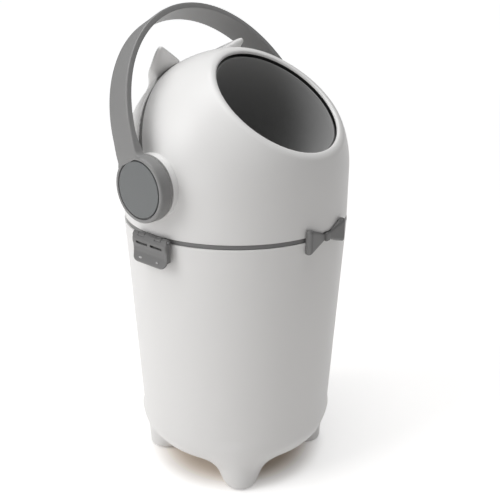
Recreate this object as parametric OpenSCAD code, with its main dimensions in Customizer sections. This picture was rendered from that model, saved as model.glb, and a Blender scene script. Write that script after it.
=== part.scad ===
// Nappy bin: tapered body on four feet, domed head with ears, a tipping drum
// behind a round mouth, an arched handle that turns the drum, a side latch,
// a hinge on the far side, and a bow tie over the seam.
// Millimetres. Origin on the floor under the body's axis, front is -Y, the
// handle turns about an axis along X, +Z is up.

/* [Body] */
// Height of the seam between body and head above the floor
seam_z = 344.5; // [330:0.5:400]
// Height of the grey band that shows in the seam
band_h = 5.5; // [4:0.5:7]
// Outer radius of the body at its rim
body_r = 140.5; // [140:0.5:142]
// Slope of the body wall on each side, in degrees
body_taper = 3.06; // [1:0.1:5]
// Height of the body's underside above the floor
belly_z = 30; // [26:1:40]
// Radius of the rounding between wall and underside
belly_round = 40; // [20:1:45]
// Wall thickness of the white mouldings
wall = 2.8; // [2.4:0.1:3.2]
// Height of the ledge that carries the bag ring
ledge_z = 296.5; // [292:0.5:300]
// Reach of that ledge inwards from the outside of the rim
ledge_reach = 15.5; // [13:0.5:18]
// Thickness of the ledge
ledge_t = 3; // [2:0.5:4]

/* [Feet] */
// Distance of each foot's tip from the body's axis
foot_ring_r = 102; // [90:1:108]
// Radius of a foot at its tip
foot_tip_r = 19.5; // [14:0.5:20]
// Radius of a foot where it runs into the body
foot_top_r = 39; // [28:1:40]
// Length of a foot along its own axis
foot_len = 44; // [38:1:50]
// Lean of a foot towards the body's axis, in degrees
foot_lean = 21.8; // [10:0.5:26]
// Radius of the rubber pad under a foot
pad_r = 12; // [8:0.5:13]
// Thickness of a pad
pad_t = 3; // [2:0.5:4]
// Height by which a pad stands out of its foot
pad_proud = 1.2; // [0.6:0.1:1.6]

/* [Head] */
// Step of the body's rim outside the wall of the head
rim_proud = 0.5; // [0.3:0.1:1]
// Height of the dome's centre and of the handle's axis above the seam
hub_rise = 58; // [52:1:66]
// Tilt of the mouth's axis above the horizontal, in degrees
mouth_elev = 52; // [46:0.5:56]
// Radius of the mouth
mouth_r = 80; // [74:1:82]
// Radius of the soft rounding from the dome down to the lip
lip_r = 13; // [12:1:24]
// Radius of the lip's inner edge
lip_edge_r = 3; // [2.8:0.1:3.2]
// Radius of the raised pad round each handle hub
boss_pad_r = 40.5; // [39:0.5:44]
// Height of that pad's face over the outside of the head
boss_proud = 2.8; // [2:0.1:4]
// Height of the screw bosses inside the head
boss_h = 12; // [8:1:12]

/* [Rear shell] */
// Distance of the groove's front edge behind the handle's axis
groove_front = 4; // [2:0.5:8]
// Width of the groove
groove_w = 7.5; // [6:0.5:10]
// Depth of the seal's face below the dome
groove_depth = 2.2; // [1.5:0.1:2.6]
// Thickness of the arch under the groove
arch_t = 2.8; // [2:0.1:3]
// Distance of each ear's tip from the middle of the head
ear_tip_x = 74; // [66:1:80]
// Distance of each ear's tip behind the handle's axis
ear_tip_y = 50.5; // [44:0.5:60]
// Height of each ear's tip ball below the top of the dome
ear_tip_low = 1.1; // [-2:0.1:10]
// Distance of each ear's root from the middle of the head
ear_root_x = 43; // [38:1:50]
// Distance of each ear's root behind the handle's axis
ear_root_y = 70.4; // [64:0.1:80]
// Height of each ear's root below the top of the dome
ear_root_low = 36.8; // [34:0.1:44]
// Radius of an ear at its root
ear_root_r = 24.6; // [20:0.2:28]
// Radius of an ear's rounded tip
ear_tip_r = 5.5; // [5:0.1:8]
// Forward lean of an ear's flat front, in degrees
ear_lean = 30; // [20:1:36]

/* [Drum] */
// Gap between the head's wall and the tipping ball
drum_gap = 7.7; // [7.7:0.1:11]
// Wall thickness of the ball
drum_wall = 2.5; // [2:0.1:3]
// Inner radius of the cup at the mouth
cup_r = 75.6; // [68:0.2:75.8]
// Inner radius of the cup at its floor
cup_floor_r = 67.6; // [60:0.2:70]
// Wall thickness of the cup
cup_wall = 2.4; // [2:0.1:2.6]
// Distance of the cup's floor behind the drum's centre
cup_drop = 60; // [40:1:75]

/* [Handle] */
// Angle through which the handle tips the drum, in degrees
tip_angle = 140; // [120:1:145]
// Backward tilt of the handle at rest, in degrees
handle_tilt = 27; // [24:0.5:30]
// Distance of the arch's middle line outside the head
arch_side = 16.4; // [15.5:0.1:17.5]
// Height of the arch's springing above the handle's axis
arch_spring = 28.6; // [24:0.2:34]
// Height of the arch's middle line over the top of the dome
arch_rise = 59.8; // [55:0.2:75]
// Width of the handle's band
band_w = 35; // [28:1:40]
// Thickness of the handle's band
band_t = 7.3; // [6:0.1:8]
// Radius of the disc at each end of the handle
hub_r = 38; // [36:0.5:39]
// Distance of the disc's face outside the head
hub_proud = 21.6; // [21:0.1:23]
// Thickness of the disc
hub_t = 11.6; // [10:0.1:12.5]
// Radius of the neck behind the disc
neck_r = 34; // [32:0.5:35]
// Radius of the round cap in the disc
cap_r = 32.7; // [30:0.1:33]
// Depth of the cap's seat
cap_seat = 3.6; // [2.5:0.1:4]
// Thickness of the cap
cap_t = 4.2; // [4:0.1:5]
// Radius of the axle between handle and drum
axle_r = 10; // [8:0.5:11]
// Outer radius of the bearing bush
bush_r = 13; // [12.5:0.5:15]
// Radius of the bush's flange
bush_flange_r = 18; // [17:0.5:20]
// Thickness of the bush's flange
bush_flange_t = 1.8; // [1.4:0.1:2]
// Width of the stop lug on the head, in degrees about the axis
stop_lug_deg = 20; // [12:1:30]
// Inner radius of the stop's track
stop_in_r = 22; // [21:0.5:24]
// Outer radius of the stop's track
stop_out_r = 29; // [26:0.5:30]

/* [Collar and bag ring] */
// Thickness of the collar's skirt
skirt_t = 2; // [1.8:0.1:2.8]
// Gap between the collar's skirt and the body's wall
skirt_gap = 1.3; // [1.2:0.1:1.9]
// Depth of the skirt below the band
skirt_h = 7.8; // [5:0.2:9]
// Width of the collar's flange inside its skirt
flange_w = 7.4; // [6.5:0.1:8.5]
// Thickness of the collar's flange
collar_t = 3; // [2:0.5:4]
// Step of the bag ring's bore outside the ledge's edge
ring_step = 1; // [0.5:0.5:2]
// Wall thickness of the bag ring
ring_t = 3; // [2:0.5:3.5]
// Height of the bag ring
ring_h = 26; // [18:1:28]
// Width of the bag ring's foot
ring_foot_w = 7.5; // [5:0.5:8]
// Number of screws that hold the collar
collar_screws_n = 6; // [6]

/* [Latch] */
// Width of the latch
latch_w = 56; // [54:1:60]
// Height of the latch below its pin
latch_h = 33; // [30:1:40]
// Distance of the latch pin outside the body's rim
latch_stand = 4.5; // [3.9:0.1:4.7]
// Depth of the latch pin below the seam
latch_drop = 1.5; // [1:0.1:2]
// Radius of the latch's barrel
barrel_r = 3.4; // [3.2:0.1:3.6]
// Thickness of the latch's face
latch_t = 4; // [3.5:0.1:4.5]
// Radius of the latch's lower corners
latch_corner = 10; // [6:1:14]
// Length of each slot in the latch
slot_l = 19; // [14:1:20]
// Height of each slot
slot_h = 3; // [2.6:0.1:3.4]
// Width of the web between the slots
slot_web = 5; // [4:0.5:8]
// Depth of the slots below the latch pin
slot_drop = 8.6; // [8.2:0.1:10]
// Thickness of each catch lug on the body
lug_t = 1.6; // [1.2:0.1:2]
// Gap between a catch lug and the latch's pin line
lug_gap = 3.7; // [3.5:0.1:3.9]
// Room left in a slot beside its catch lug
lug_room = 4; // [3:0.5:5]

/* [Hinge] */
// Distance of the hinge pin outside the body's rim
hinge_stand = 7.1; // [6.9:0.1:8.5]
// Radius of the hinge's knuckles
knuckle_r = 4.6; // [4.2:0.1:5]
// Radius of the hinge pin
hinge_pin_r = 2; // [1.5:0.1:2.2]
// Width of the hinge
hinge_w = 40; // [36:1:44]
// Width of the middle knuckle
hinge_mid_w = 13; // [10:1:16]
// Height of the hinge leaf on the body
leaf_low_h = 21; // [18:1:24]
// Height of the hinge leaf on the head
leaf_high_h = 14.5; // [13:0.5:15]
// Distance between the two screws of a leaf
leaf_pitch = 26; // [22:1:28]

/* [Bow tie] */
// Half width of the bow
bow_half = 35; // [30:1:42]
// Height of a wing at its outer end
bow_end_h = 31; // [26:1:36]
// Height of a wing at the knot
bow_waist_h = 9; // [8:0.5:10]
// Height of the knot
knot_h = 11; // [10:0.5:16]
// Width of the knot
knot_w = 12; // [9:0.5:14]
// Depth of a wing's outer end in front of the body
bow_depth = 9; // [9:0.5:13]
// Depth of a wing at the knot
bow_waist_d = 2.5; // [2.5:0.5:4]
// Depth of the knot
knot_d = 4.6; // [4:0.2:7]
// Height of the bow's middle below the seam
bow_drop = 5; // [2:0.5:8]
// Rounding of the bow's corners
bow_round = 3; // [1:0.5:4]
// Distance between the two screws of the bow
bow_pitch = 54; // [50:1:56]

/* [Screws and clearances] */
// Radius of the small screws' shafts
screw_r = 1.5; // [1:0.1:1.5]
// Radius of the small screws' heads
screw_head_r = 3.2; // [2.6:0.1:3.3]
// Height of the small screws' heads
screw_head_h = 2.2; // [1.6:0.1:2.6]
// Radius of the bow screws' shafts
bow_screw_r = 1.2; // [0.8:0.1:1.2]
// Radius of the bow screws' heads
bow_head_r = 2.4; // [2:0.1:2.4]
// Height of the bow screws' heads
bow_head_h = 1.6; // [1.2:0.1:2]
// Radius of the hub screws' shafts
hub_screw_r = 2.5; // [2:0.1:3]
// Radius of the hub screws' heads
hub_head_r = 5; // [4.5:0.1:5.5]
// Clearance of a shaft or pin in its bore
run = 0.05; // [0.02:0.01:0.1]
// Gap between pieces that sit on each other
seat = 0.1; // [0.05:0.01:0.2]
// Gap between pieces that move past each other
free = 0.3; // [0.3:0.05:0.5]

/* [Hidden] */

white = "#f3f2ef";
grey = "#8b8c8a";
cap_grey = "#7c8183";
drum_grey = "#77787a";
dark = "#2e2e2f";
steel = "#b9bcc0";
bush_white = "#dcdcd6";

$fn = 96;
far = 400;
eps = 0.01;

screw_reach = 30;
ear_front_z = 107;
ear_depth = 40;
latch_bulge_low = 8;
latch_waist_top = 15;
latch_waist_low = 21;
latch_face = 4.8;
latch_back = 0.8;
latch_lip = 3;
head_clear = 20;

rim_z = seam_z - band_h;
hub_z = seam_z + hub_rise;
dome_r = body_r - rim_proud;
dome_in_r = dome_r - wall;
drum_r = dome_in_r - drum_gap;
boss_x = dome_r + boss_proud;
hub_x = dome_r + hub_proud;
arch_x = dome_r + arch_side;
arch_top = dome_r + arch_rise;
ear_tip_z = dome_r - ear_tip_low;
ear_root_z = dome_r - ear_root_low;
ledge_r = body_r - ledge_reach;
skirt_out_r = body_r - wall - skirt_gap;
skirt_in_r = skirt_out_r - skirt_t;
collar_in_r = skirt_in_r - flange_w;
ring_in_r = ledge_r + ring_step;
ring_foot_r = ring_in_r + ring_foot_w;
latch_x = body_r + latch_stand;
hinge_x = body_r + hinge_stand;
belly_top = belly_z + belly_round;
belly_c_r = wall_r(belly_top) - belly_round / cos(body_taper);

lip_c = mouth_r + lip_edge_r;
lip_a = sqrt(pow(dome_r - lip_r, 2) - pow(lip_c, 2));
lip_half = asin(lip_c / (dome_r - lip_r));
lip_top = lip_a + lip_r;

groove_back = groove_front + groove_w;
arch_out_r = dome_in_r - 0.8;
arch_in_r = arch_out_r - arch_t;

cup_out_r = cup_r + cup_wall;
cup_fit_r = cup_out_r + seat;
rim_a = sqrt(pow(drum_r, 2) - pow(cup_out_r, 2));

neck_x = boss_x + bush_flange_t + free;
disc_x = hub_x - hub_t;
cap_floor = hub_x - cap_seat;
axle_in = drum_r - drum_wall - 18.7;
axle_out = cap_floor - 6;
socket_t = 5;
hub_counter = 3;

latch_z = seam_z - latch_drop;
slot_z = latch_z - slot_drop;
hinge_z = seam_z - band_h / 2;
bow_z = seam_z - bow_drop;
bow_back = body_r + 0.4;
bow_screw_z = seam_z + collar_t + bow_head_r + 0.4;
leaf_low_z = rim_z - leaf_low_h / 2 - 2;
leaf_high_z = seam_z + 1.4 + leaf_high_h / 2;
collar_screw_ring = skirt_in_r - screw_head_r - free;

bow_in = sqrt(pow(dome_in_r, 2) - pow(bow_pitch / 2 + bow_head_r, 2)) - seat;
bow_tip = bow_back + 2;

// Outer radius of the body's wall at a height
function wall_r(z) = body_r - (rim_z - z) * tan(body_taper);

module at_hub() {
    translate([0, 0, hub_z]) children();
}

// Frame of the handle's arch: local Z runs up the arch, local Y backwards
module arch_frame() {
    at_hub() rotate([-handle_tilt, 0, 0]) children();
}

// Frame of the mouth: local Z runs out of the mouth
module mouth_frame() {
    at_hub() rotate([90 - mouth_elev, 0, 0]) children();
}

// A cylinder along X from one distance to another
module x_rod(r, x0, x1) {
    translate([x0, 0, 0]) rotate([0, 90, 0]) cylinder(r = r, h = x1 - x0);
}

// A cylinder along Y, centred
module y_rod(r, w) {
    rotate([90, 0, 0]) cylinder(r = r, h = w, center = true);
}

module both_sides() {
    children();
    mirror([1, 0, 0]) children();
}

// Outline of the body, drawn inwards by an inset
module body_outline(inset) {
    zc = belly_top;
    rc = belly_c_r;
    rr = belly_round - inset;
    union() {
        polygon([
            [0, belly_z + inset],
            [rc, belly_z + inset],
            [rc + rr * cos(body_taper), zc - rr * sin(body_taper)],
            [wall_r(rim_z) - inset / cos(body_taper), rim_z],
            [0, rim_z]
        ]);
        translate([rc, zc]) circle(r = rr);
    }
}

module body_solid(inset) {
    rotate_extrude() body_outline(inset);
}

// A foot as a leaning cone, drawn inwards by an inset
module foot_cone(inset) {
    k = (foot_top_r - foot_tip_r) / foot_len;
    extra = 14;
    translate([foot_ring_r, 0, 0]) rotate([0, -foot_lean, 0]) translate([0, 0, -extra])
        cylinder(r1 = foot_tip_r - extra * k - inset, r2 = foot_top_r - inset, h = foot_len + extra);
}

module feet(inset, floor_z) {
    for (a = [45:90:315])
        rotate([0, 0, a])
            intersection() {
                foot_cone(inset);
                translate([-far / 2, -far / 2, floor_z]) cube([far, far, far]);
            }
}

module base_bucket() {
    lug_x = latch_x - lug_gap;
    lug_l = slot_l - 2 * lug_room;
    color(white) difference() {
        union() {
            difference() {
                union() {
                    body_solid(0);
                    feet(0, pad_proud);
                }
                body_solid(wall);
                translate([0, 0, rim_z - eps]) cylinder(r = body_r, h = wall);
                feet(wall, pad_t + wall);
            }
            difference() {
                translate([0, 0, ledge_z - ledge_t]) cylinder(r = wall_r(ledge_z) - wall / 2, h = ledge_t);
                translate([0, 0, ledge_z - ledge_t - eps]) cylinder(r = ledge_r, h = ledge_t + 2 * eps);
            }
            for (s = [-1, 1])
                translate([-lug_x, s * (slot_web + slot_l) / 2 - lug_l / 2, slot_z - lug_t / 2])
                    cube([lug_x - wall_r(slot_z) + wall, lug_l, lug_t]);
            for (s = [-1, 1])
                translate([0, s * leaf_pitch / 2, leaf_low_z])
                    x_rod(4.5, wall_r(leaf_low_z) - wall - 5, wall_r(leaf_low_z) - wall);
        }
        for (a = [45:90:315])
            rotate([0, 0, a]) translate([foot_ring_r, 0, -eps]) cylinder(r = pad_r + seat, h = pad_t + seat);
        for (s = [-1, 1])
            translate([0, s * leaf_pitch / 2, leaf_low_z]) x_rod(screw_r + run, body_r / 2, body_r + 2);
    }
}

module foot_pads() {
    color(dark) for (a = [45:90:315])
        rotate([0, 0, a]) translate([foot_ring_r, 0, 0]) cylinder(r = pad_r, h = pad_t);
}

module bag_ring() {
    z0 = ledge_z + free;
    color(grey) rotate_extrude() difference() {
        union() {
            translate([ring_in_r, z0]) square([ring_foot_r - ring_in_r, ring_t]);
            translate([ring_in_r, z0]) square([ring_t, ring_h]);
        }
        translate([ring_in_r - eps, z0 + ring_h - 1]) square([eps, eps]);
    }
}

// The head's plain shape: a straight wall with a dome on it
module dome(r) {
    at_hub() rotate_extrude() union() {
        intersection() {
            circle(r = r);
            square([r, r]);
        }
        translate([0, -hub_rise]) square([r, hub_rise]);
    }
}

// The head's shape with the rounded lip, drawn inwards by an inset
module head_skin(inset) {
    r = dome_r - inset;
    arc = lip_r - inset;
    lap = 1;
    cone = lip_half - lap / 2;
    difference() {
        dome(r);
        mouth_frame() cylinder(r1 = 0, r2 = far * tan(cone) / 2, h = far / 2);
    }
    mouth_frame() rotate_extrude() union() {
        polygon([
            [0, 0],
            [(r - lap) * sin(lip_half + lap), (r - lap) * cos(lip_half + lap)],
            [lip_c + lap, lip_a + arc - lap],
            [lip_c, lip_a + arc],
            [0, lip_a + arc]
        ]);
        intersection() {
            translate([lip_c, lip_a]) circle(r = arc);
            polygon([[lip_c, lip_a], [lip_c, lip_a + far], [lip_c + far * tan(lip_half - 2 * lap), lip_a + far]]);
        }
    }
}

// The mouth's bore with its rounded edge
module mouth_cut() {
    edge_a = lip_top - lip_edge_r;
    mouth_frame() rotate_extrude() difference() {
        square([lip_c, lip_top + 10]);
        translate([lip_c, edge_a]) circle(r = lip_edge_r);
        translate([lip_c - lip_edge_r - eps, 0]) square([lip_edge_r + 2 * eps, edge_a - lip_edge_r - 20]);
    }
}

// Everything behind the arch plane at a distance, above the handle's axis
module rear_region(d) {
    intersection() {
        arch_frame() translate([-far / 2, d, -far / 2]) cube([far, far, far]);
        translate([-far / 2, -far / 2, hub_z]) cube([far, far, far]);
    }
}

// A slice along the arch between two distances, above the handle's axis
module arch_slice(d0, d1) {
    intersection() {
        arch_frame() translate([-far / 2, d0, -far / 2]) cube([far, d1 - d0, far]);
        translate([-far / 2, -far / 2, hub_z]) cube([far, far, far]);
    }
}

module hub_pads(r) {
    at_hub() both_sides() x_rod(r, drum_r / 2, boss_x);
}

module hood_front() {
    color(white) difference() {
        union() {
            difference() {
                head_skin(0);
                rear_region(groove_front);
            }
            intersection() {
                dome(arch_out_r);
                arch_slice(groove_front - eps, groove_back + 12);
            }
            intersection() {
                dome(dome_in_r + eps);
                arch_slice(groove_front - 6, groove_front);
            }
            hub_pads(boss_pad_r);
        }
        difference() {
            head_skin(wall);
            intersection() {
                difference() {
                    dome(dome_in_r + 1);
                    dome(arch_in_r);
                }
                arch_slice(groove_front - 6, groove_back + 12);
            }
            at_hub() both_sides() x_rod(bush_flange_r, drum_r + 2, boss_x);
            head_bosses();
        }
        mouth_cut();
        at_hub() both_sides() x_rod(bush_r + seat / 2, drum_r, boss_x + 1);
        for (a = [0:360 / collar_screws_n:359])
            rotate([0, 0, a]) translate([collar_screw_ring, 0, seam_z - 1]) cylinder(r = screw_r + run, h = boss_h + collar_t);
        for (s = [-1, 1])
            translate([0, s * leaf_pitch / 2, leaf_high_z]) x_rod(screw_r + run, dome_r - 12, dome_r + 2);
        for (s = [-1, 1])
            translate([s * bow_pitch / 2, -dome_r, bow_screw_z]) y_rod(bow_screw_r + run, screw_reach);
    }
    color(white) at_hub() both_sides() stop_lug();
}

// Screw bosses on the inside of the head
module head_bosses() {
    z0 = seam_z + collar_t + seat;
    for (a = [0:360 / collar_screws_n:359])
        rotate([0, 0, a]) {
            translate([collar_screw_ring, 0, z0]) cylinder(r = 4, h = boss_h);
            translate([collar_screw_ring, -2, z0]) cube([dome_r - collar_screw_ring, 4, boss_h]);
        }
    for (s = [-1, 1])
        translate([0, s * leaf_pitch / 2, leaf_high_z]) x_rod(4.4, dome_in_r - 6, dome_r);
}

// The lug in the hub's track that stops the handle at both ends
module stop_lug() {
    x_sector(stop_in_r + free, stop_out_r - free, boss_x - 1, disc_x - 1.5, -90 - stop_lug_deg / 2, stop_lug_deg);
}

// A ring sector about X between two radii, from one distance to another
module x_sector(r0, r1, x0, x1, from, span) {
    steps = 12;
    w = 2 * r1;
    intersection() {
        difference() {
            x_rod(r1, x0, x1);
            x_rod(r0, x0 - 1, x1 + 1);
        }
        translate([x0 - 1, 0, 0]) rotate([90, 0, 90]) linear_extrude(x1 - x0 + 2)
            polygon(concat([[0, 0]], [for (i = [0:steps]) w * [cos(from + span * i / steps), sin(from + span * i / steps)]]));
    }
}

// One ear as a cone with a ball at its tip, drawn inwards by an inset
module ear_cone(inset) {
    root = [ear_root_x, ear_root_y, ear_root_z];
    tip = [ear_tip_x, ear_tip_y, ear_tip_z];
    v = tip - root;
    l = norm(v);
    at_hub() translate(root) rotate([0, acos(v[2] / l), atan2(v[1], v[0])]) {
        cylinder(r1 = ear_root_r - inset, r2 = ear_tip_r - inset, h = l);
        translate([0, 0, l]) sphere(r = ear_tip_r - inset);
    }
}

// The space behind the ears' flat front, moved back by an inset
module ear_back(inset) {
    z0 = ear_front_z;
    y0 = z0 * tan(handle_tilt) + groove_back / cos(handle_tilt);
    at_hub() translate([0, y0, z0]) rotate([ear_lean, 0, 0]) translate([-far / 2, inset, -far / 2]) cube([far, far, far]);
}

module ears(inset) {
    both_sides() intersection() {
        ear_cone(inset);
        ear_back(inset);
        rear_region(groove_back - ear_depth);
    }
}

module hood_rear() {
    color(white) difference() {
        union() {
            intersection() {
                dome(dome_r);
                rear_region(groove_back);
                translate([-far / 2, -far / 2, hub_z + 2 * seat]) cube([far, far, far]);
            }
            ears(0);
        }
        dome(dome_in_r);
        ears(wall);
        intersection() {
            dome(dome_r + free);
            arch_slice(-far / 4, groove_back);
        }
        at_hub() x_rod(boss_pad_r + free, -far / 2, far / 2);
    }
}

module shell_seal() {
    color(grey) difference() {
        intersection() {
            dome(dome_r - groove_depth);
            arch_slice(groove_front + seat, groove_back - seat);
        }
        dome(arch_out_r + seat / 2);
        at_hub() x_rod(boss_pad_r + free, -far / 2, far / 2);
    }
}

module mouth_seal() {
    arc = lip_r - wall - seat;
    color(dark) difference() {
        mouth_frame() rotate_extrude() intersection() {
            translate([lip_c, lip_a]) circle(r = arc);
            translate([lip_c + 1.5, lip_a]) square([4.5, far]);
        }
        at_hub() sphere(r = drum_r + free);
    }
}

module collar_ring() {
    web_z = rim_z + free;
    color(grey) {
        difference() {
            rotate_extrude() polygon([
                [skirt_in_r, web_z - skirt_h],
                [skirt_out_r, web_z - skirt_h],
                [skirt_out_r, web_z],
                [body_r - 1.7, web_z],
                [body_r - 1.7, seam_z - seat],
                [dome_in_r - free, seam_z - seat],
                [dome_in_r - free, seam_z + collar_t],
                [collar_in_r, seam_z + collar_t],
                [collar_in_r, seam_z],
                [skirt_in_r, seam_z]
            ]);
            for (a = [0:360 / collar_screws_n:359])
                rotate([0, 0, a]) translate([collar_screw_ring, 0, seam_z - 1])
                    cylinder(r = screw_r + run, h = collar_t + 2);
        }
        for (s = [-1, 1])
            difference() {
                union() {
                    translate([-latch_x, s * latch_ear_y, latch_z]) y_rod(barrel_r, latch_ear_w);
                    translate([-latch_x, s * latch_ear_y - latch_ear_w / 2, web_z + 0.2])
                        cube([latch_x - skirt_out_r, latch_ear_w, seam_z - seat - web_z - 0.2]);
                }
                translate([-latch_x, s * latch_ear_y, latch_z]) y_rod(latch_pin_r + run / 2, latch_ear_w + 2);
            }
    }
}

latch_pin_r = 1.25;
latch_ear_w = 9.6;
latch_ear_y = 13.8;

module collar_screws() {
    color(steel) for (a = [0:360 / collar_screws_n:359])
        rotate([0, 0, a]) translate([collar_screw_ring, 0, 0]) {
            translate([0, 0, seam_z - seat - screw_head_h]) cylinder(r = screw_head_r, h = screw_head_h);
            translate([0, 0, seam_z - 1]) cylinder(r = screw_r, h = boss_h + collar_t - 1);
        }
}

// A bearing bush on the +X side
module bush() {
    at_hub() difference() {
        union() {
            x_rod(bush_r, drum_r + 2.4, boss_x + seat);
            x_rod(bush_flange_r, boss_x + seat, boss_x + bush_flange_t);
        }
        x_rod(axle_r + run, drum_r - 2, boss_x + 4);
    }
}

module bush_left() {
    color(bush_white) mirror([1, 0, 0]) bush();
}

module bush_right() {
    color(bush_white) bush();
}

// An axle on the +X side, with its pilot hole for the hub screw
module axle() {
    at_hub() difference() {
        x_rod(axle_r, axle_in, axle_out);
        x_rod(hub_screw_r + run, axle_out - 16, axle_out + 1);
    }
}

module axle_left() {
    color(steel) mirror([1, 0, 0]) axle();
}

module axle_right() {
    color(steel) axle();
}

// Outline of the bow from the front, the right half
module bow_front() {
    h1 = bow_end_h / 2;
    h0 = bow_waist_h / 2;
    r = bow_round;
    hull() {
        translate([bow_half - r, h1 - r]) circle(r = r);
        translate([bow_half - r, r - h1]) circle(r = r);
        translate([0, -h0]) square([1, bow_waist_h]);
    }
}

// Outline of the bow from above, the right half: deep at the end, shallow at the knot
module bow_plan() {
    y_end = sqrt(pow(bow_back, 2) - pow(bow_half, 2));
    difference() {
        polygon([[0, 0], [bow_half, 0], [bow_half, -y_end - bow_depth + 2], [bow_half - 2, -y_end - bow_depth],
            [bow_half - 7, -y_end - bow_depth], [knot_w / 2, -bow_back - bow_waist_d], [0, -bow_back - bow_waist_d]]);
        circle(r = bow_back);
    }
}

module bow_tie() {
    color(grey) difference() {
        union() {
            both_sides() intersection() {
                translate([0, 0, bow_z]) rotate([90, 0, 0]) linear_extrude(far / 2) bow_front();
                translate([0, 0, bow_z - bow_end_h]) linear_extrude(2 * bow_end_h) bow_plan();
            }
            translate([-knot_w / 2, -bow_back - knot_d, bow_z - knot_h / 2]) cube([knot_w, knot_d - seat, knot_h]);
            bow_screw_rods(bow_head_r, bow_in, bow_back);
        }
        difference() {
            cylinder(r = dome_r + seat, h = far * 2);
            cylinder(r = dome_r / 2, h = far * 2);
        }
        bow_screw_rods(bow_screw_r + run, bow_in, bow_tip + seat);
    }
}

// Rods along Y at the bow's two screws, between two distances
module bow_screw_rods(r, y0, y1) {
    for (s = [-1, 1])
        translate([s * bow_pitch / 2, -y0, bow_screw_z]) rotate([90, 0, 0]) cylinder(r = r, h = y1 - y0);
}

module bow_tie_screws() {
    color(steel) {
        bow_screw_rods(bow_head_r, bow_in - bow_head_h, bow_in);
        bow_screw_rods(bow_screw_r, bow_in - eps, bow_tip);
    }
}

module latch_pin() {
    color(steel) translate([-latch_x, 0, latch_z]) y_rod(latch_pin_r, latch_w - 1);
}

// Side outline of the latch in distance and height from its pin
module latch_profile() {
    f = latch_x + latch_face;
    b = latch_x + latch_back;
    h = latch_h;
    polygon([
        [latch_x + barrel_r - seat, latch_back],
        [f - 2 * seat, -barrel_r],
        [f, -latch_bulge_low],
        [f - 1.3, -latch_waist_top],
        [f - 1.2, -latch_waist_low],
        [f + 1.8, latch_lip - h],
        [f + 1.6, 1 - h],
        [f + latch_back, -h],
        [f - latch_t + 2, latch_back - h],
        [b, -latch_waist_low],
        [b, -2 * latch_lip],
        [latch_x, -latch_lip / 2]
    ]);
}

module side_latch() {
    barrel_end = latch_ear_y + latch_ear_w / 2 + free;
    barrel_mid = latch_ear_y - latch_ear_w / 2 - free;
    cheek = 2.5;
    color(grey) difference() {
        union() {
            intersection() {
                translate([0, latch_w / 2, latch_z]) rotate([90, 0, 0]) linear_extrude(latch_w)
                    mirror([1, 0]) latch_profile();
                latch_outline();
            }
            translate([-latch_x, 0, latch_z]) y_rod(barrel_r, latch_w);
            intersection() {
                for (s = [-1, 1])
                    translate([-latch_x - 4, s * (latch_w - cheek) / 2 - cheek / 2, latch_z - latch_h + 8])
                        cube([7, cheek, latch_h - 10]);
                latch_outline();
            }
            for (s = [-1, 1])
                translate([-latch_x - 5.6, s * latch_w / 4, latch_z - latch_h + 8]) scale(1) sphere(r = 1.3, $fn = 32);
        }
        for (s = [-1, 1])
            translate([-latch_x - 12, s * (slot_web + slot_l) / 2 - slot_l / 2, slot_z - slot_h / 2])
                cube([24, slot_l, slot_h]);
        for (s = [-1, 1])
            translate([-latch_x - 9, s * latch_ear_y - latch_ear_w / 2 - free, latch_z - barrel_r - free])
                cube([18, latch_ear_w + 2 * free, 12]);
        translate([-latch_x, 0, latch_z]) y_rod(latch_pin_r + run, latch_w + 2);
    }
}

// The latch's outline from the side of the bin, with round lower corners
module latch_outline() {
    c = latch_corner;
    translate([-latch_x - latch_h / 2, 0, latch_z]) rotate([90, 0, 90]) linear_extrude(latch_h) difference() {
        translate([-latch_w / 2, -latch_h]) square([latch_w, latch_h + 8]);
        for (s = [-1, 1])
            difference() {
                translate([s * latch_w / 2 - c, -latch_h - c]) square([2 * c, 2 * c]);
                translate([s * (latch_w / 2 - c), c - latch_h]) circle(r = c);
            }
    }
}

// Screw holes of a hinge leaf
module leaf_holes(z, x0) {
    for (s = [-1, 1])
        translate([0, s * leaf_pitch / 2, z]) {
            x_rod(screw_r + run, x0 - 8, x0 + 12);
            x_rod(screw_head_r + seat, x0 + 1.6, x0 + 12);
        }
}

module hinge_leaf_base() {
    z0 = leaf_low_z - leaf_low_h / 2;
    x0 = wall_r(leaf_low_z);
    side_w = (hinge_w - hinge_mid_w) / 2 - free;
    color(grey) difference() {
        union() {
            translate([x0 - 6, -hinge_w / 2, z0]) cube([hinge_x - knuckle_r + 1.2 - x0 + 6, hinge_w, rim_z - 1 - z0]);
            for (s = [-1, 1])
                translate([0, s * (hinge_w - side_w) / 2, 0]) {
                    translate([hinge_x, 0, hinge_z]) y_rod(knuckle_r, side_w);
                    translate([hinge_x - knuckle_r, -side_w / 2, rim_z - 6]) cube([2 * knuckle_r - 1, side_w, hinge_z - rim_z + 6]);
                }
        }
        body_solid(-seat);
        translate([0, 0, rim_z - 1]) cylinder(r = body_r + seat, h = 30);
        leaf_holes(leaf_low_z, x0);
        translate([hinge_x, 0, hinge_z]) y_rod(hinge_pin_r + run / 2, hinge_w + 2);
        translate([hinge_x - knuckle_r - 4, -hinge_mid_w / 2 - free, rim_z - 3]) cube([20, hinge_mid_w + 2 * free, 30]);
    }
}

module hinge_base_screws() {
    x0 = wall_r(leaf_low_z);
    color(steel) for (s = [-1, 1])
        translate([0, s * leaf_pitch / 2, leaf_low_z]) {
            x_rod(screw_head_r, x0 + 1.7, x0 + 1.7 + screw_head_h);
            x_rod(screw_r, x0 - 7, x0 + 1.8);
        }
}

module hinge_pin() {
    color(steel) translate([hinge_x, 0, hinge_z]) y_rod(hinge_pin_r, hinge_w + 1);
}

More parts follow.
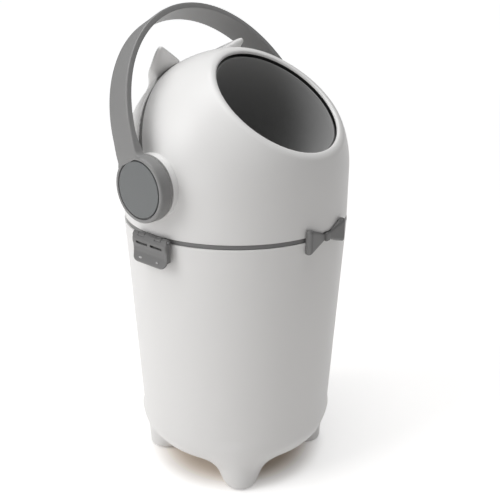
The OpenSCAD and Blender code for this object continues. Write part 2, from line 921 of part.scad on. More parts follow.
module hinge_leaf_head() {
    z0 = leaf_high_z - leaf_high_h / 2;
    color(grey) difference() {
        union() {
            translate([dome_r - 6, -hinge_w / 2, z0]) cube([9.2, hinge_w, leaf_high_h]);
            translate([hinge_x, 0, hinge_z]) y_rod(knuckle_r, hinge_mid_w);
            translate([dome_r + 0.6, -hinge_mid_w / 2, hinge_z]) cube([hinge_x - dome_r, hinge_mid_w, z0 + 3 - hinge_z]);
        }
        translate([0, 0, seam_z - head_clear]) cylinder(r = dome_r + seat, h = far / 4);
        leaf_holes(leaf_high_z, dome_r);
        translate([hinge_x, 0, hinge_z]) y_rod(hinge_pin_r + run, hinge_w + 2);
    }
}

module hinge_head_screws() {
    color(steel) for (s = [-1, 1])
        translate([0, s * leaf_pitch / 2, leaf_high_z]) {
            x_rod(screw_head_r, dome_r + 1.7, dome_r + 1.7 + screw_head_h);
            x_rod(screw_r, dome_r - 8, dome_r + 1.8);
        }
}

// The ball's shell with its mouth and the guide for the cup, in profile
module ball_profile() {
    guide = 13;
    difference() {
        union() {
            difference() {
                circle(r = drum_r);
                circle(r = drum_r - drum_wall);
            }
            intersection() {
                circle(r = drum_r - drum_wall / 2);
                translate([cup_fit_r, rim_a - guide]) square([2.6, guide + 10]);
            }
        }
        translate([-far, -far]) square([far, 2 * far]);
        translate([-1, 0]) square([cup_fit_r + 1, far]);
    }
}

module drum_ball() {
    color(drum_grey) difference() {
        union() {
            mouth_frame() rotate_extrude() ball_profile();
            at_hub() both_sides() x_rod(axle_r + socket_t, axle_in - 3, drum_r - 1.5);
        }
        at_hub() both_sides() x_rod(axle_r + run, axle_in - seat, drum_r + 5);
    }
}

module drum_cup() {
    floor_t = 2.6;
    slope = (cup_r - cup_floor_r) / (rim_a + cup_drop - 18);
    color(drum_grey) mouth_frame() rotate_extrude() difference() {
        union() {
            polygon([
                [0, -cup_drop],
                [cup_floor_r + cup_wall - 6, -cup_drop],
                [cup_floor_r + cup_wall, 6 - cup_drop],
                [cup_out_r, rim_a - 18],
                [cup_out_r, rim_a - 1.2],
                [0, rim_a - 1.2]
            ]);
            translate([cup_r + 1.2, rim_a - 1.2]) circle(r = 1.2);
            translate([0, rim_a - 1.3]) square([cup_r + 1.2, 1.3]);
        }
        polygon([
            [-1, floor_t - cup_drop],
            [cup_floor_r - 5, floor_t - cup_drop],
            [cup_floor_r + slope * 5, floor_t + 5 - cup_drop],
            [cup_r, rim_a - 18],
            [cup_r, rim_a + 5],
            [-1, rim_a + 5]
        ]);
    }
}

// Points along the arch's middle line, moved outwards by a distance
function arch_points(out) = [for (i = [0:arch_steps])
    let (p = 180 * i / arch_steps, rise = arch_top - arch_spring,
        nx = rise * cos(p), nz = arch_x * sin(p), n = norm([nx, nz]))
    [arch_x * cos(p) + out * nx / n, arch_spring + rise * sin(p) + out * nz / n]];
arch_steps = 60;

function reversed(list) = [for (i = [len(list) - 1:-1:0]) list[i]];

// Outline of the handle's band with its two straight legs
module arch_outline() {
    t = band_t / 2;
    polygon(concat(
        [[arch_x + t, 0]], arch_points(t), [[-arch_x - t, 0]],
        [[t - arch_x, 0]], reversed(arch_points(-t)), [[arch_x - t, 0]]
    ));
}

module handle() {
    color(grey) difference() {
        union() {
            arch_frame() translate([0, band_w / 2, 0]) rotate([90, 0, 0]) linear_extrude(band_w) arch_outline();
            at_hub() both_sides() {
                x_rod(hub_r, disc_x, hub_x);
                x_rod(neck_r, neck_x, disc_x + 1);
            }
        }
        at_hub() both_sides() {
            x_rod(cap_r + 0.4, cap_floor, hub_x + 5);
            x_rod(hub_head_r + 1, cap_floor - hub_counter, hub_x);
            x_rod(hub_screw_r + 0.2, axle_out - 1, hub_x);
            x_rod(axle_r + run, neck_x - 1, axle_out + seat);
            x_sector(stop_in_r, stop_out_r, neck_x - 1, disc_x,
                -90 + stop_lug_deg / 2 + stop_ease - stop_span, stop_span);
        }
    }
}

stop_ease = 1;
stop_span = tip_angle + stop_lug_deg + 2 * stop_ease;

module hub_screws() {
    color(steel) at_hub() both_sides() {
        x_rod(hub_head_r, cap_floor - hub_counter + seat, cap_floor - 0.2);
        x_rod(hub_screw_r, axle_out - 14, cap_floor - hub_counter + seat + eps);
    }
}

// The round cap on the +X side, with its bevelled edge
module hub_cap() {
    bevel = 1;
    at_hub() translate([cap_floor + seat, 0, 0]) rotate([0, 90, 0]) {
        cylinder(r = cap_r, h = cap_t - bevel - seat);
        translate([0, 0, cap_t - bevel - seat]) cylinder(r1 = cap_r, r2 = cap_r - bevel, h = bevel);
    }
}

module hub_cap_left() {
    color(cap_grey) mirror([1, 0, 0]) hub_cap();
}

module hub_cap_right() {
    color(cap_grey) hub_cap();
}

base_bucket();
foot_pads();
hinge_leaf_base();
hinge_base_screws();
hinge_pin();
bag_ring();
hood_front();
hood_rear();
shell_seal();
mouth_seal();
collar_ring();
collar_screws();
bush_left();
bush_right();
bow_tie();
bow_tie_screws();
latch_pin();
hinge_leaf_head();
hinge_head_screws();
side_latch();
drum_ball();
drum_cup();
axle_left();
axle_right();
handle();
hub_screws();
hub_cap_left();
hub_cap_right();
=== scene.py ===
"""Looks of a nappy bin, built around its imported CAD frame.

Sizes inside the classes are in millimetres, in the frame of the CAD part:
the origin is on the floor under the body, -Y is the front, +Z is up and the
handle turns about an axis along X.
"""

from __future__ import annotations

import logging
import math
from dataclasses import dataclass
from enum import Enum
from typing import Callable, Sequence

import bmesh
import bpy
import numpy as np
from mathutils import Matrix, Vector


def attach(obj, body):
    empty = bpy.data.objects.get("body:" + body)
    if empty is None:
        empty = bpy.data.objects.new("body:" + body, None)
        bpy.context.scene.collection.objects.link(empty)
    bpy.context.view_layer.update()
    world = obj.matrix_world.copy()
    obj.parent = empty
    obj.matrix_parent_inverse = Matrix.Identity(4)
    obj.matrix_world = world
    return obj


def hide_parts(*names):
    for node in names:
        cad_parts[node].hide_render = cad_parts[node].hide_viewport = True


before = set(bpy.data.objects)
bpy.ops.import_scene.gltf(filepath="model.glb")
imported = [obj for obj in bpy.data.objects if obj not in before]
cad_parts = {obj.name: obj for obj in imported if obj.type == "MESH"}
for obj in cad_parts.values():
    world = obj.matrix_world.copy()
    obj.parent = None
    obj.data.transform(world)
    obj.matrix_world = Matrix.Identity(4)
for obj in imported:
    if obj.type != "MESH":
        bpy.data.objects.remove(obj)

LOG = logging.getLogger("nappy_bin")
MM = 0.001
QUARTER = math.pi / 2
SIDES = ((-1, "left"), (1, "right"))

Point = tuple[float, float, float]
Colour = tuple[float, float, float]
Row = tuple[float, float]
Field = Callable[[np.ndarray], np.ndarray]


# ---------------------------------------------------------------- geometry


def unit(v: Sequence[float]) -> np.ndarray:
    """Returns v at length one."""
    a = np.asarray(v, float)
    return a / np.linalg.norm(a)


def ease(t: np.ndarray) -> np.ndarray:
    """Smooth step of t from 0 to 1, held at both ends."""
    t = np.clip(t, 0.0, 1.0)
    return t * t * (3 - 2 * t)


def soft_min(a: np.ndarray, b: np.ndarray, k: np.ndarray | float) -> np.ndarray:
    """Joins two distance fields with a fillet.

    Args:
        a: First field.
        b: Second field.
        k: Width of the blend in millimetres.

    Returns:
        The joined field.
    """
    h = np.clip(0.5 + 0.5 * (b - a) / k, 0, 1)
    return b + (a - b) * h - k * h * (1 - h)


def soft_max(a: np.ndarray, b: np.ndarray, k: float) -> np.ndarray:
    """Cuts one distance field by another with a rounded edge."""
    return -soft_min(-a, -b, k)


def march(
    field_of: Field, start: np.ndarray, way: np.ndarray, reach: float, steps: int = 48, halvings: int = 26
) -> np.ndarray:
    """Finds where rays leave a shape.

    Args:
        field_of: Distance field, negative inside.
        start: Ray origins, inside the shape.
        way: Ray directions of length one.
        reach: Longest distance to search.
        steps: Number of coarse steps over the reach.
        halvings: How often the last step is halved.

    Returns:
        The points on the shape's surface.
    """
    lo = np.zeros(start.shape[:-1])
    hi = np.full(start.shape[:-1], reach)
    found = np.zeros(lo.shape, bool)
    for i in range(1, steps + 1):
        t = np.full(lo.shape, reach * i / steps)
        out = field_of(start + way * t[..., None]) > 0
        new = out & ~found
        hi[new] = t[new]
        lo[~out & ~found] = t[~out & ~found]
        found |= out
    for _ in range(halvings):
        mid = (lo + hi) / 2
        out = field_of(start + way * mid[..., None]) > 0
        hi = np.where(out, mid, hi)
        lo = np.where(out, lo, mid)
    return start + way * ((lo + hi) / 2)[..., None]


def slope_of(field_of: Field, points: np.ndarray, gap: float) -> np.ndarray:
    """Returns the gradient of a field at points, by differences over a gap."""
    ahead = [field_of(points + gap * e) - field_of(points - gap * e) for e in np.eye(3)]
    return np.stack(ahead, -1) / (2 * gap)


def arc(x: float, y: float, r: float, first: float, last: float, count: int) -> list[Row]:
    """Points on a circle.

    Args:
        x: First coordinate of its middle.
        y: Second coordinate of its middle.
        r: Its radius.
        first: Angle of the first point from +y towards +x, in radians.
        last: Angle of the last point.
        count: Number of points.

    Returns:
        One (x, y) row for each point.
    """
    return [(x + r * math.sin(k), y + r * math.cos(k)) for k in np.linspace(first, last, count)]


def rounded(corners: Sequence[Point], steps: int = 5) -> np.ndarray:
    """Rounds the corners of a closed outline.

    Args:
        corners: (x, y, radius) of each corner.
        steps: Spans of each arc.

    Returns:
        The outline's points, one row each.
    """
    n = len(corners)
    out: list[np.ndarray] = []
    for i, (x, y, r) in enumerate(corners):
        p = np.array([x, y], float)
        if r <= 0:
            out.append(p)
            continue
        a = np.array(corners[i - 1][:2], float) - p
        b = np.array(corners[(i + 1) % n][:2], float) - p
        la, lb = np.linalg.norm(a), np.linalg.norm(b)
        a, b = a / la, b / lb
        half = math.acos(float(np.clip(a @ b, -1, 1))) / 2
        if half > QUARTER - 1e-3:
            out.append(p)
            continue
        t = min(r / math.tan(half), 0.49 * la, 0.49 * lb)
        r = t * math.tan(half)
        c = p + unit(a + b) * (r / math.sin(half))
        u, v = p + a * t - c, p + b * t - c
        turn = math.pi - 2 * half
        for k in range(steps + 1):
            w = k / steps
            out.append(c + (math.sin((1 - w) * turn) * u + math.sin(w * turn) * v) / math.sin(turn))
    return np.array(out)


@dataclass(frozen=True)
class Place:
    """A local frame inside the bin: an origin and three axes."""

    origin: Point = (0.0, 0.0, 0.0)
    x: Point = (1.0, 0.0, 0.0)
    y: Point = (0.0, 1.0, 0.0)
    z: Point = (0.0, 0.0, 1.0)

    def put(self, local: np.ndarray) -> np.ndarray:
        """Returns local points in the bin's frame."""
        return np.asarray(local) @ np.array([self.x, self.y, self.z]) + np.array(self.origin)

    def read(self, points: np.ndarray) -> np.ndarray:
        """Returns the bin's points in this local frame."""
        return (np.asarray(points) - np.array(self.origin)) @ np.array([self.x, self.y, self.z]).T


def turned(profile: Sequence[Row], place: Place, count: int) -> np.ndarray:
    """Turns a profile about a place's z axis.

    Args:
        profile: (radius, height) rows.
        place: The frame to turn in.
        count: Columns round the axis.

    Returns:
        Points as profile rows by columns by 3.
    """
    a = np.arange(count) * 2 * math.pi / count
    rows = np.array(profile)
    r, h = rows[:, 0, None], rows[:, 1, None]
    local = np.stack([r * np.cos(a), r * np.sin(a), h + 0 * a], -1)
    return place.put(local)


class Shape:
    """Collects points in millimetres and faces, and becomes one mesh object."""

    def __init__(self) -> None:
        """Starts with nothing in it."""
        self.points: list[np.ndarray] = []
        self.faces: list[tuple[int, ...]] = []
        self.count = 0

    def add(self, points: np.ndarray) -> np.ndarray:
        """Adds points.

        Args:
            points: Points in any layout, with the three coordinates last.

        Returns:
            The points' numbers, in the same layout.
        """
        flat = np.asarray(points, float).reshape(-1, 3)
        ids = np.arange(self.count, self.count + len(flat)).reshape(np.shape(points)[:-1])
        self.points.append(flat)
        self.count += len(flat)
        return ids

    def sheet(self, points: np.ndarray, close_rows: bool = False, close_cols: bool = False) -> np.ndarray:
        """Adds a grid of points with a quad in each cell.

        Args:
            points: Rows by columns by 3.
            close_rows: Whether the last row joins the first.
            close_cols: Whether the last column joins the first.

        Returns:
            The numbers of the points.
        """
        ids = self.add(points)
        a = np.vstack([ids, ids[:1]]) if close_rows else ids
        a = np.hstack([a, a[:, :1]]) if close_cols else a
        q = np.stack([a[:-1, :-1], a[:-1, 1:], a[1:, 1:], a[1:, :-1]], -1).reshape(-1, 4)
        self.faces += [tuple(int(i) for i in row) for row in q]
        return ids

    def lid(self, ring: np.ndarray) -> None:
        """Closes a ring of point numbers with a fan from its middle.

        Args:
            ring: The numbers, in order.
        """
        every = np.concatenate(self.points)
        c = int(self.add(every[ring].mean(0)[None])[0])
        n = len(ring)
        self.faces += [(int(ring[i]), int(ring[(i + 1) % n]), c) for i in range(n)]

    def lathe(self, profile: Sequence[Row], place: Place, count: int, closed: bool = True) -> np.ndarray:
        """Adds a turned solid.

        Args:
            profile: (radius, height) rows; it starts and ends on the axis unless closed.
            place: The frame to turn in.
            count: Columns round the axis.
            closed: Whether the profile is a loop.

        Returns:
            The numbers of the points.
        """
        return self.sheet(turned(profile, place, count), close_rows=closed, close_cols=True)

    def prism(
        self, outline: np.ndarray, place: Place, z0: float, z1: float, edge: float, steps: int = 3
    ) -> None:
        """Adds a plate with rounded rims.

        Args:
            outline: Its convex-ish outline, one (x, y) row each.
            place: The frame whose z runs through the plate.
            z0: Lower face.
            z1: Upper face.
            edge: Rounding of the rims.
            steps: Spans of each rounding.
        """
        nxt, prv = np.roll(outline, -1, 0), np.roll(outline, 1, 0)
        tan = nxt - prv
        tan /= np.maximum(np.linalg.norm(tan, axis=1, keepdims=True), 1e-9)
        area = 0.5 * np.sum(outline[:, 0] * nxt[:, 1] - nxt[:, 0] * outline[:, 1])
        inward = np.stack([-tan[:, 1], tan[:, 0]], -1) * (1 if area > 0 else -1)
        rows = arc(edge, z0 + edge, edge, -math.pi, -QUARTER, steps + 1)
        rows += [(i, z0 + z1 - z) for i, z in reversed(rows)]
        level = np.ones(len(outline))
        grid = np.array([np.column_stack([outline + inward * i, level * z]) for i, z in rows])
        ids = self.sheet(place.put(grid), close_cols=True)
        self.lid(ids[0])
        self.lid(ids[-1])

    def build(self, name: str, sharp: float = 34.0) -> bpy.types.Object:
        """Makes the object.

        Args:
            name: Name of the object and its mesh.
            sharp: Edges steeper than this many degrees stay crisp.

        Returns:
            The object, linked to the scene.
        """
        mesh = bpy.data.meshes.new(name)
        mesh.from_pydata((np.concatenate(self.points) * MM).tolist(), [], self.faces)
        bm = bmesh.new()
        bm.from_mesh(mesh)
        bmesh.ops.remove_doubles(bm, verts=bm.verts, dist=2e-6)
        bmesh.ops.dissolve_degenerate(bm, edges=bm.edges, dist=1e-7)
        bmesh.ops.recalc_face_normals(bm, faces=bm.faces)
        bm.to_mesh(mesh)
        bm.free()
        mesh.shade_smooth()
        mesh.set_sharp_from_angle(angle=math.radians(sharp))
        obj = bpy.data.objects.new(name, mesh)
        bpy.context.scene.collection.objects.link(obj)
        return obj


def turned_solid(
    name: str, profile: Sequence[Row], places: Sequence[Place], count: int, closed: bool = False
) -> bpy.types.Object:
    """Makes one object from a turned solid, or from several that are alike.

    Args:
        name: Name of the object.
        profile: (radius, height) rows.
        places: The frame that each copy turns in.
        count: Columns round the axis.
        closed: Whether the profile is a loop.

    Returns:
        The object.
    """
    shape = Shape()
    for place in places:
        shape.lathe(profile, place, count, closed)
    return shape.build(name)


def net(
    field_of: Field, low: Sequence[float], high: Sequence[float], step: float
) -> tuple[np.ndarray, np.ndarray, np.ndarray]:
    """Wraps a skin of quads round a distance field.

    Args:
        field_of: Distance field, negative inside.
        low: Lowest corner of the box that holds the shape.
        high: Highest corner.
        step: Size of a cell in millimetres.

    Returns:
        The skin's points, its quads and the normals at the points.
    """
    xs, ys, zs = (np.arange(a, b + step, step) for a, b in zip(low, high))
    yz = np.stack(np.meshgrid(ys, zs, indexing="ij"), -1)
    values = np.empty((len(xs), len(ys), len(zs)), np.float32)
    for i, x in enumerate(xs):
        values[i] = field_of(np.concatenate([np.full(yz.shape[:-1] + (1,), x), yz], -1))
    inside = values < 0
    corners = [(i, j, k) for i in (0, 1) for j in (0, 1) for k in (0, 1)]
    shape = np.array(values.shape) - 1

    def cut(a: np.ndarray, c: tuple[int, int, int]) -> np.ndarray:
        """Returns the values at one corner of every cell."""
        return a[c[0] : c[0] + shape[0], c[1] : c[1] + shape[1], c[2] : c[2] + shape[2]]

    total = sum(cut(inside, c).astype(np.int8) for c in corners)
    cells = np.argwhere((total > 0) & (total < 8))
    number = np.full(tuple(shape), -1, np.int64)
    number[tuple(cells.T)] = np.arange(len(cells))
    at = [values[tuple((cells + np.array(c)).T)].astype(float) for c in corners]
    summed = np.zeros((len(cells), 3))
    hits = np.zeros(len(cells))
    for a in range(8):
        for b in range(a + 1, 8):
            ca, cb = np.array(corners[a]), np.array(corners[b])
            if np.abs(ca - cb).sum() != 1:
                continue
            cross = (at[a] < 0) != (at[b] < 0)
            t = at[a] / np.where(cross, at[a] - at[b], 1)
            summed += np.where(cross[:, None], ca + (cb - ca) * t[:, None], 0)
            hits += cross
    points = (cells + summed / hits[:, None]) * step + np.array([xs[0], ys[0], zs[0]])
    quads = []
    for axis in range(3):
        u, v = (axis + 1) % 3, (axis + 2) % 3
        ahead = np.roll(inside, -1, axis)
        edge = inside != ahead
        for d in range(3):
            index = [slice(None)] * 3
            index[d] = slice(1, -1) if d != axis else slice(0, -1)
            mask = np.zeros_like(edge)
            mask[tuple(index)] = True
            edge &= mask
        where = np.argwhere(edge)
        flip = inside[tuple(where.T)]
        eu, ev = np.eye(3, dtype=int)[u], np.eye(3, dtype=int)[v]
        four = np.stack([number[tuple((where - o).T)] for o in (eu * 0, eu, eu + ev, ev)], -1)
        four = np.where(flip[:, None], four, four[:, ::-1])
        quads.append(four)
    faces = np.concatenate(quads)
    gap = 0.04
    for _ in range(4):
        g = slope_of(field_of, points, gap)
        move = field_of(points)[:, None] * g / np.maximum((g * g).sum(-1, keepdims=True), 0.05)
        points = points - np.clip(move, -step, step)
    g = slope_of(field_of, points, gap)
    return points, faces, g / np.maximum(np.linalg.norm(g, axis=1, keepdims=True), 1e-9)


def skin(
    name: str, field_of: Field, low: Sequence[float], high: Sequence[float], step: float
) -> bpy.types.Object:
    """Makes an object from a distance field.

    Args:
        name: Name of the object and its mesh.
        field_of: Distance field in millimetres, negative inside.
        low: Lowest corner of its box.
        high: Highest corner.
        step: Size of a quad in millimetres.

    Returns:
        The object, with normals read from the field.
    """
    points, faces, normals = net(field_of, low, high, step)
    mesh = bpy.data.meshes.new(name)
    mesh.from_pydata((points * MM).tolist(), [], faces.tolist())
    mesh.shade_smooth()
    mesh.normals_split_custom_set_from_vertices(normals.tolist())
    obj = bpy.data.objects.new(name, mesh)
    bpy.context.scene.collection.objects.link(obj)
    return obj


# --------------------------------------------------------------- finishes


def add_node(
    tree: bpy.types.NodeTree,
    kind: str,
    settings: dict[str, object] | None = None,
    sockets: dict[str | int, object] | None = None,
) -> bpy.types.Node:
    """Adds a node to a shader.

    Args:
        tree: The shader's tree.
        kind: The node's type, without the ShaderNode in front.
        settings: Its properties, such as operation or data_type.
        sockets: Values of its inputs, by name or number.

    Returns:
        The node.
    """
    node = tree.nodes.new("ShaderNode" + kind)
    for key, value in (settings or {}).items():
        setattr(node, key, value)
    for key, value in (sockets or {}).items():
        node.inputs[key].default_value = value
    return node


def node_group(name: str, inputs: dict[str, float], outputs: Sequence[str]) -> bpy.types.NodeTree:
    """Makes an empty shader group with sockets for numbers.

    Args:
        name: Name of the group.
        inputs: Default of each input, by name.
        outputs: Name of each output.

    Returns:
        The group.
    """
    tree = bpy.data.node_groups.new(name, "ShaderNodeTree")
    for label, value in inputs.items():
        socket = tree.interface.new_socket(label, in_out="INPUT", socket_type="NodeSocketFloat")
        socket.default_value = value
    for label in outputs:
        tree.interface.new_socket(label, in_out="OUTPUT", socket_type="NodeSocketFloat")
    tree.nodes.new("NodeGroupInput")
    tree.nodes.new("NodeGroupOutput")
    return tree


class Effects:
    """Shader groups that the finishes share, each built once."""

    _made: dict[str, bpy.types.NodeTree] = {}

    @classmethod
    def moulding(cls) -> bpy.types.NodeTree:
        """Fine mould texture, slow flow marks and uneven gloss of a moulded or ground surface.

        Returns:
            A group that puts out a height, a tint mask and a roughness.
        """
        if "moulding" in cls._made:
            return cls._made["moulding"]
        inputs = {"Grain": 2200.0, "Flow": 9.0, "Roughness": 0.4, "Spread": 0.05}
        tree = node_group("moulding", inputs, ["Height", "Tint", "Roughness"])
        link = tree.links.new
        enter, leave = tree.nodes["Group Input"], tree.nodes["Group Output"]
        place = add_node(tree, "TexCoord")
        grain = add_node(tree, "TexNoise", sockets={"Detail": 2.0})
        flow = add_node(tree, "TexNoise", sockets={"Detail": 4.0, "Roughness": 0.6})
        centred = add_node(tree, "Math", {"operation": "SUBTRACT"}, {1: 0.5})
        spread = add_node(tree, "Math", {"operation": "MULTIPLY_ADD"})
        for noise, scale in ((grain, "Grain"), (flow, "Flow")):
            link(place.outputs["Object"], noise.inputs["Vector"])
            link(enter.outputs[scale], noise.inputs["Scale"])
        link(flow.outputs["Fac"], centred.inputs[0])
        link(centred.outputs[0], spread.inputs[0])
        link(enter.outputs["Spread"], spread.inputs[1])
        link(enter.outputs["Roughness"], spread.inputs[2])
        link(grain.outputs["Fac"], leave.inputs["Height"])
        link(flow.outputs["Fac"], leave.inputs["Tint"])
        link(spread.outputs[0], leave.inputs["Roughness"])
        cls._made["moulding"] = tree
        return tree

    @classmethod
    def rubbed_edge(cls) -> bpy.types.NodeTree:
        """Finds the convex edges of a piece.

        Returns:
            A group that puts out an edge mask, broken up by noise.
        """
        if "rubbed_edge" in cls._made:
            return cls._made["rubbed_edge"]
        tree = node_group("rubbed_edge", {"From": 0.53, "To": 0.62}, ["Mask"])
        link = tree.links.new
        enter, leave = tree.nodes["Group Input"], tree.nodes["Group Output"]
        form = add_node(tree, "NewGeometry")
        place = add_node(tree, "TexCoord")
        ramp = add_node(tree, "MapRange", {"clamp": True})
        noise = add_node(tree, "TexNoise", sockets={"Scale": 60.0})
        both = add_node(tree, "Math", {"operation": "MULTIPLY"})
        link(form.outputs["Pointiness"], ramp.inputs["Value"])
        link(enter.outputs["From"], ramp.inputs["From Min"])
        link(enter.outputs["To"], ramp.inputs["From Max"])
        link(place.outputs["Object"], noise.inputs["Vector"])
        link(ramp.outputs["Result"], both.inputs[0])
        link(noise.outputs["Fac"], both.inputs[1])
        link(both.outputs[0], leave.inputs["Mask"])
        cls._made["rubbed_edge"] = tree
        return tree


@dataclass(frozen=True, kw_only=True)
class Surface:
    """What every finish has: two tints, a gloss and a fine texture."""

    name: str
    slot: str
    base: Colour
    shade: Colour
    roughness: float = 0.4
    spread: float = 0.06
    grain: float = 2200.0
    bump: float = 0.05
    bump_depth: float = 0.0002
    metallic: float = 0.0

    def colour(self, tree: bpy.types.NodeTree, tint: bpy.types.NodeSocket) -> bpy.types.NodeSocket:
        """Returns the colour that goes to the shader, here the plain tint."""
        return tint

    def make(self) -> bpy.types.Material:
        """Makes the material, unless one of its name is already there.

        Returns:
            The new material, or the one that was there.
        """
        if self.name in bpy.data.materials:
            return bpy.data.materials[self.name]
        mat = bpy.data.materials.new(self.name)
        mat.use_nodes = True
        tree = mat.node_tree
        link = tree.links.new
        shader = tree.nodes["Principled BSDF"]
        shader.inputs["Metallic"].default_value = self.metallic
        marks = add_node(
            tree,
            "Group",
            {"node_tree": Effects.moulding()},
            {"Grain": self.grain, "Roughness": self.roughness, "Spread": self.spread},
        )
        tint = add_node(tree, "Mix", {"data_type": "RGBA"}, {"A": (*self.shade, 1), "B": (*self.base, 1)})
        bump = add_node(tree, "Bump", sockets={"Strength": self.bump, "Distance": self.bump_depth})
        link(marks.outputs["Tint"], tint.inputs["Factor"])
        link(self.colour(tree, tint.outputs["Result"]), shader.inputs["Base Color"])
        link(marks.outputs["Roughness"], shader.inputs["Roughness"])
        link(marks.outputs["Height"], bump.inputs["Height"])
        link(bump.outputs["Normal"], shader.inputs["Normal"])
        return mat


@dataclass(frozen=True, kw_only=True)
class Plastic(Surface):
    """A moulded plastic or rubber, a little lighter where its edges are rubbed."""

    edge: Colour

    def colour(self, tree: bpy.types.NodeTree, tint: bpy.types.NodeSocket) -> bpy.types.NodeSocket:
        """Mixes the edge's colour over the tint.

        Args:
            tree: The material's nodes.
            tint: The plain tint.

        Returns:
            The mixed colour.
        """
        rub = add_node(tree, "Group", {"node_tree": Effects.rubbed_edge()})
        worn = add_node(tree, "Mix", {"data_type": "RGBA"}, {"B": (*self.edge, 1)})
        tree.links.new(tint, worn.inputs["A"])
        tree.links.new(rub.outputs["Mask"], worn.inputs["Factor"])
        return worn.outputs["Result"]


@dataclass(frozen=True, kw_only=True)
class Metal(Surface):
    """A bright or ground metal of screws, pins and axles."""

    spread: float = 0.18
    grain: float = 900.0
    bump: float = 0.1
    bump_depth: float = 0.0001
    metallic: float = 1.0


def grey(value: float, warm: float = 0.0) -> Colour:
    """Returns a linear grey, a little warm or cool."""
    return (value * (1 + warm), value, value * (1 - warm))


class Finish(Enum):
    """The finishes of the bin."""

    SHELL = Plastic(
        name="white_shell", slot="shell_white", roughness=0.36, bump=0.04,
        base=(0.795, 0.79, 0.783), shade=(0.77, 0.765, 0.758), edge=(0.83, 0.825, 0.818),
    )
    TRIM = Plastic(
        name="grey_trim", slot="trim_grey", roughness=0.42, bump=0.07,
        base=grey(0.172, 0.004), shade=grey(0.172, 0.004), edge=grey(0.22),
    )
    # The trim's grey painted lighter for the handle, standing in for light the lamps don't put on its
    # band.
    HANDLE = Plastic(
        name="grey_handle", slot="trim_grey", roughness=0.42, bump=0.07,
        base=grey(0.245, 0.004), shade=grey(0.23, 0.004), edge=grey(0.29),
    )
    CAP = Plastic(
        name="hub_cap_grey", slot="cap_grey", bump=0.06,
        base=(0.15, 0.158, 0.16), shade=(0.143, 0.15, 0.152), edge=grey(0.2),
    )
    # The CAD's own material has this name too, so make() finds that one and the drum shows
    # its plain grey of 0.3. These numbers only take effect under a name of their own.
    DRUM = Plastic(
        name="drum_grey", slot="drum_grey", roughness=0.29,
        base=grey(0.098), shade=grey(0.09), edge=grey(0.13),
    )
    RING = Plastic(
        name="bag_ring_grey", slot="ring_grey", roughness=0.42,
        base=grey(0.22), shade=grey(0.2), edge=grey(0.26),
    )
    BUSH = Plastic(
        name="bush_white", slot="bush_plastic", roughness=0.34,
        base=(0.66, 0.65, 0.6), shade=(0.62, 0.61, 0.56), edge=(0.7, 0.69, 0.65),
    )
    SEAL = Plastic(
        name="soft_seal", slot="seal_dark", roughness=0.6, bump=0.2, grain=1400.0,
        base=grey(0.022), shade=grey(0.018), edge=grey(0.035),
    )
    GROOVE = Plastic(
        name="groove_seal", slot="seal_dark", roughness=0.5, bump=0.08,
        base=grey(0.165, 0.01), shade=grey(0.155, 0.01), edge=grey(0.18),
    )
    PAD = Plastic(
        name="foot_rubber", slot="pad_dark", roughness=0.75, bump=0.35, grain=1100.0,
        base=grey(0.03), shade=grey(0.025), edge=grey(0.05),
    )
    # Pale grey of the pips, a painted glint that shows each as a bright dot on the latch.
    MARK = Plastic(name="pale_pip", slot="trim_grey", base=grey(0.5), shade=grey(0.46), edge=grey(0.55))
    STEEL = Metal(
        name="bright_steel", slot="screw_steel", roughness=0.28,
        base=(0.62, 0.63, 0.65), shade=(0.496, 0.504, 0.52),
    )


class Body(Enum):
    """The rigid bodies of the bin."""

    BASE = "base"
    HEAD = "head"
    DRUM = "drum"
    LATCH = "latch"
    RING = "ring"


def install(obj: bpy.types.Object, body: Body, finish: Finish, replaces: bool = True) -> None:
    """Puts a finished piece on the bin.

    Args:
        obj: The piece, named after the CAD node that it stands for.
        body: The CAD body it moves with.
        finish: Its finish, whose material the piece gets.
        replaces: Whether it stands for the CAD node of its name.
    """
    node = obj.name.split(".")[0]
    obj.name = obj.data.name = node + "_look"
    obj.data.materials.clear()
    obj.data.materials.append(finish.value.make())
    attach(obj, body.value)
    if replaces:
        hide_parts(node)
    LOG.info("%s: %d faces on %s", obj.name, len(obj.data.polygons), body.value)


# ------------------------------------------------------------- sub-assemblies


@dataclass
class Datum:
    """Sizes that the sub-assemblies share, in millimetres and degrees."""

    seam: float = 344.5
    rim: float = 339.0
    hub: float = 402.5
    hub_face: float = 142.8
    body_r: float = 140.5
    dome_r: float = 140.0
    taper: float = 3.06
    wall: float = 2.8
    ledge: float = 296.5
    drum_r: float = 129.5
    tilt: float = 27.0
    mouth_elev: float = 52.0
    latch_x: float = 145.0
    latch_drop: float = 1.5
    latch_ear: float = 13.8
    latch_barrel: float = 3.4

    def wall_r(self, z: np.ndarray | float) -> np.ndarray | float:
        """Outer radius of the body's wall at a height."""
        return self.body_r - (self.rim - z) * math.tan(math.radians(self.taper))

    def mouth(self) -> Place:
        """Frame whose z runs out of the mouth from the middle of the head."""
        up, out = math.sin(math.radians(self.mouth_elev)), math.cos(math.radians(self.mouth_elev))
        return Place((0, 0, self.hub), (1, 0, 0), (0, up, out), (0, -out, up))

    def arch(self) -> Place:
        """Frame of the handle: z runs up the arch and y backwards."""
        back, up = math.sin(math.radians(self.tilt)), math.cos(math.radians(self.tilt))
        return Place((0, 0, self.hub), (1, 0, 0), (0, up, -back), (0, back, up))

    def side(self, s: int) -> Place:
        """Frame of a hub: z runs outwards along the axle on one side."""
        return Place((0, 0, self.hub), (0, s, 0), (0, 0, 1), (s, 0, 0))

    def outward(self, y: float, z: float) -> Place:
        """Frame at a point beside the z axis whose z runs along +X."""
        return Place((0, y, z), (0, 1, 0), (0, 0, 1), (1, 0, 0))


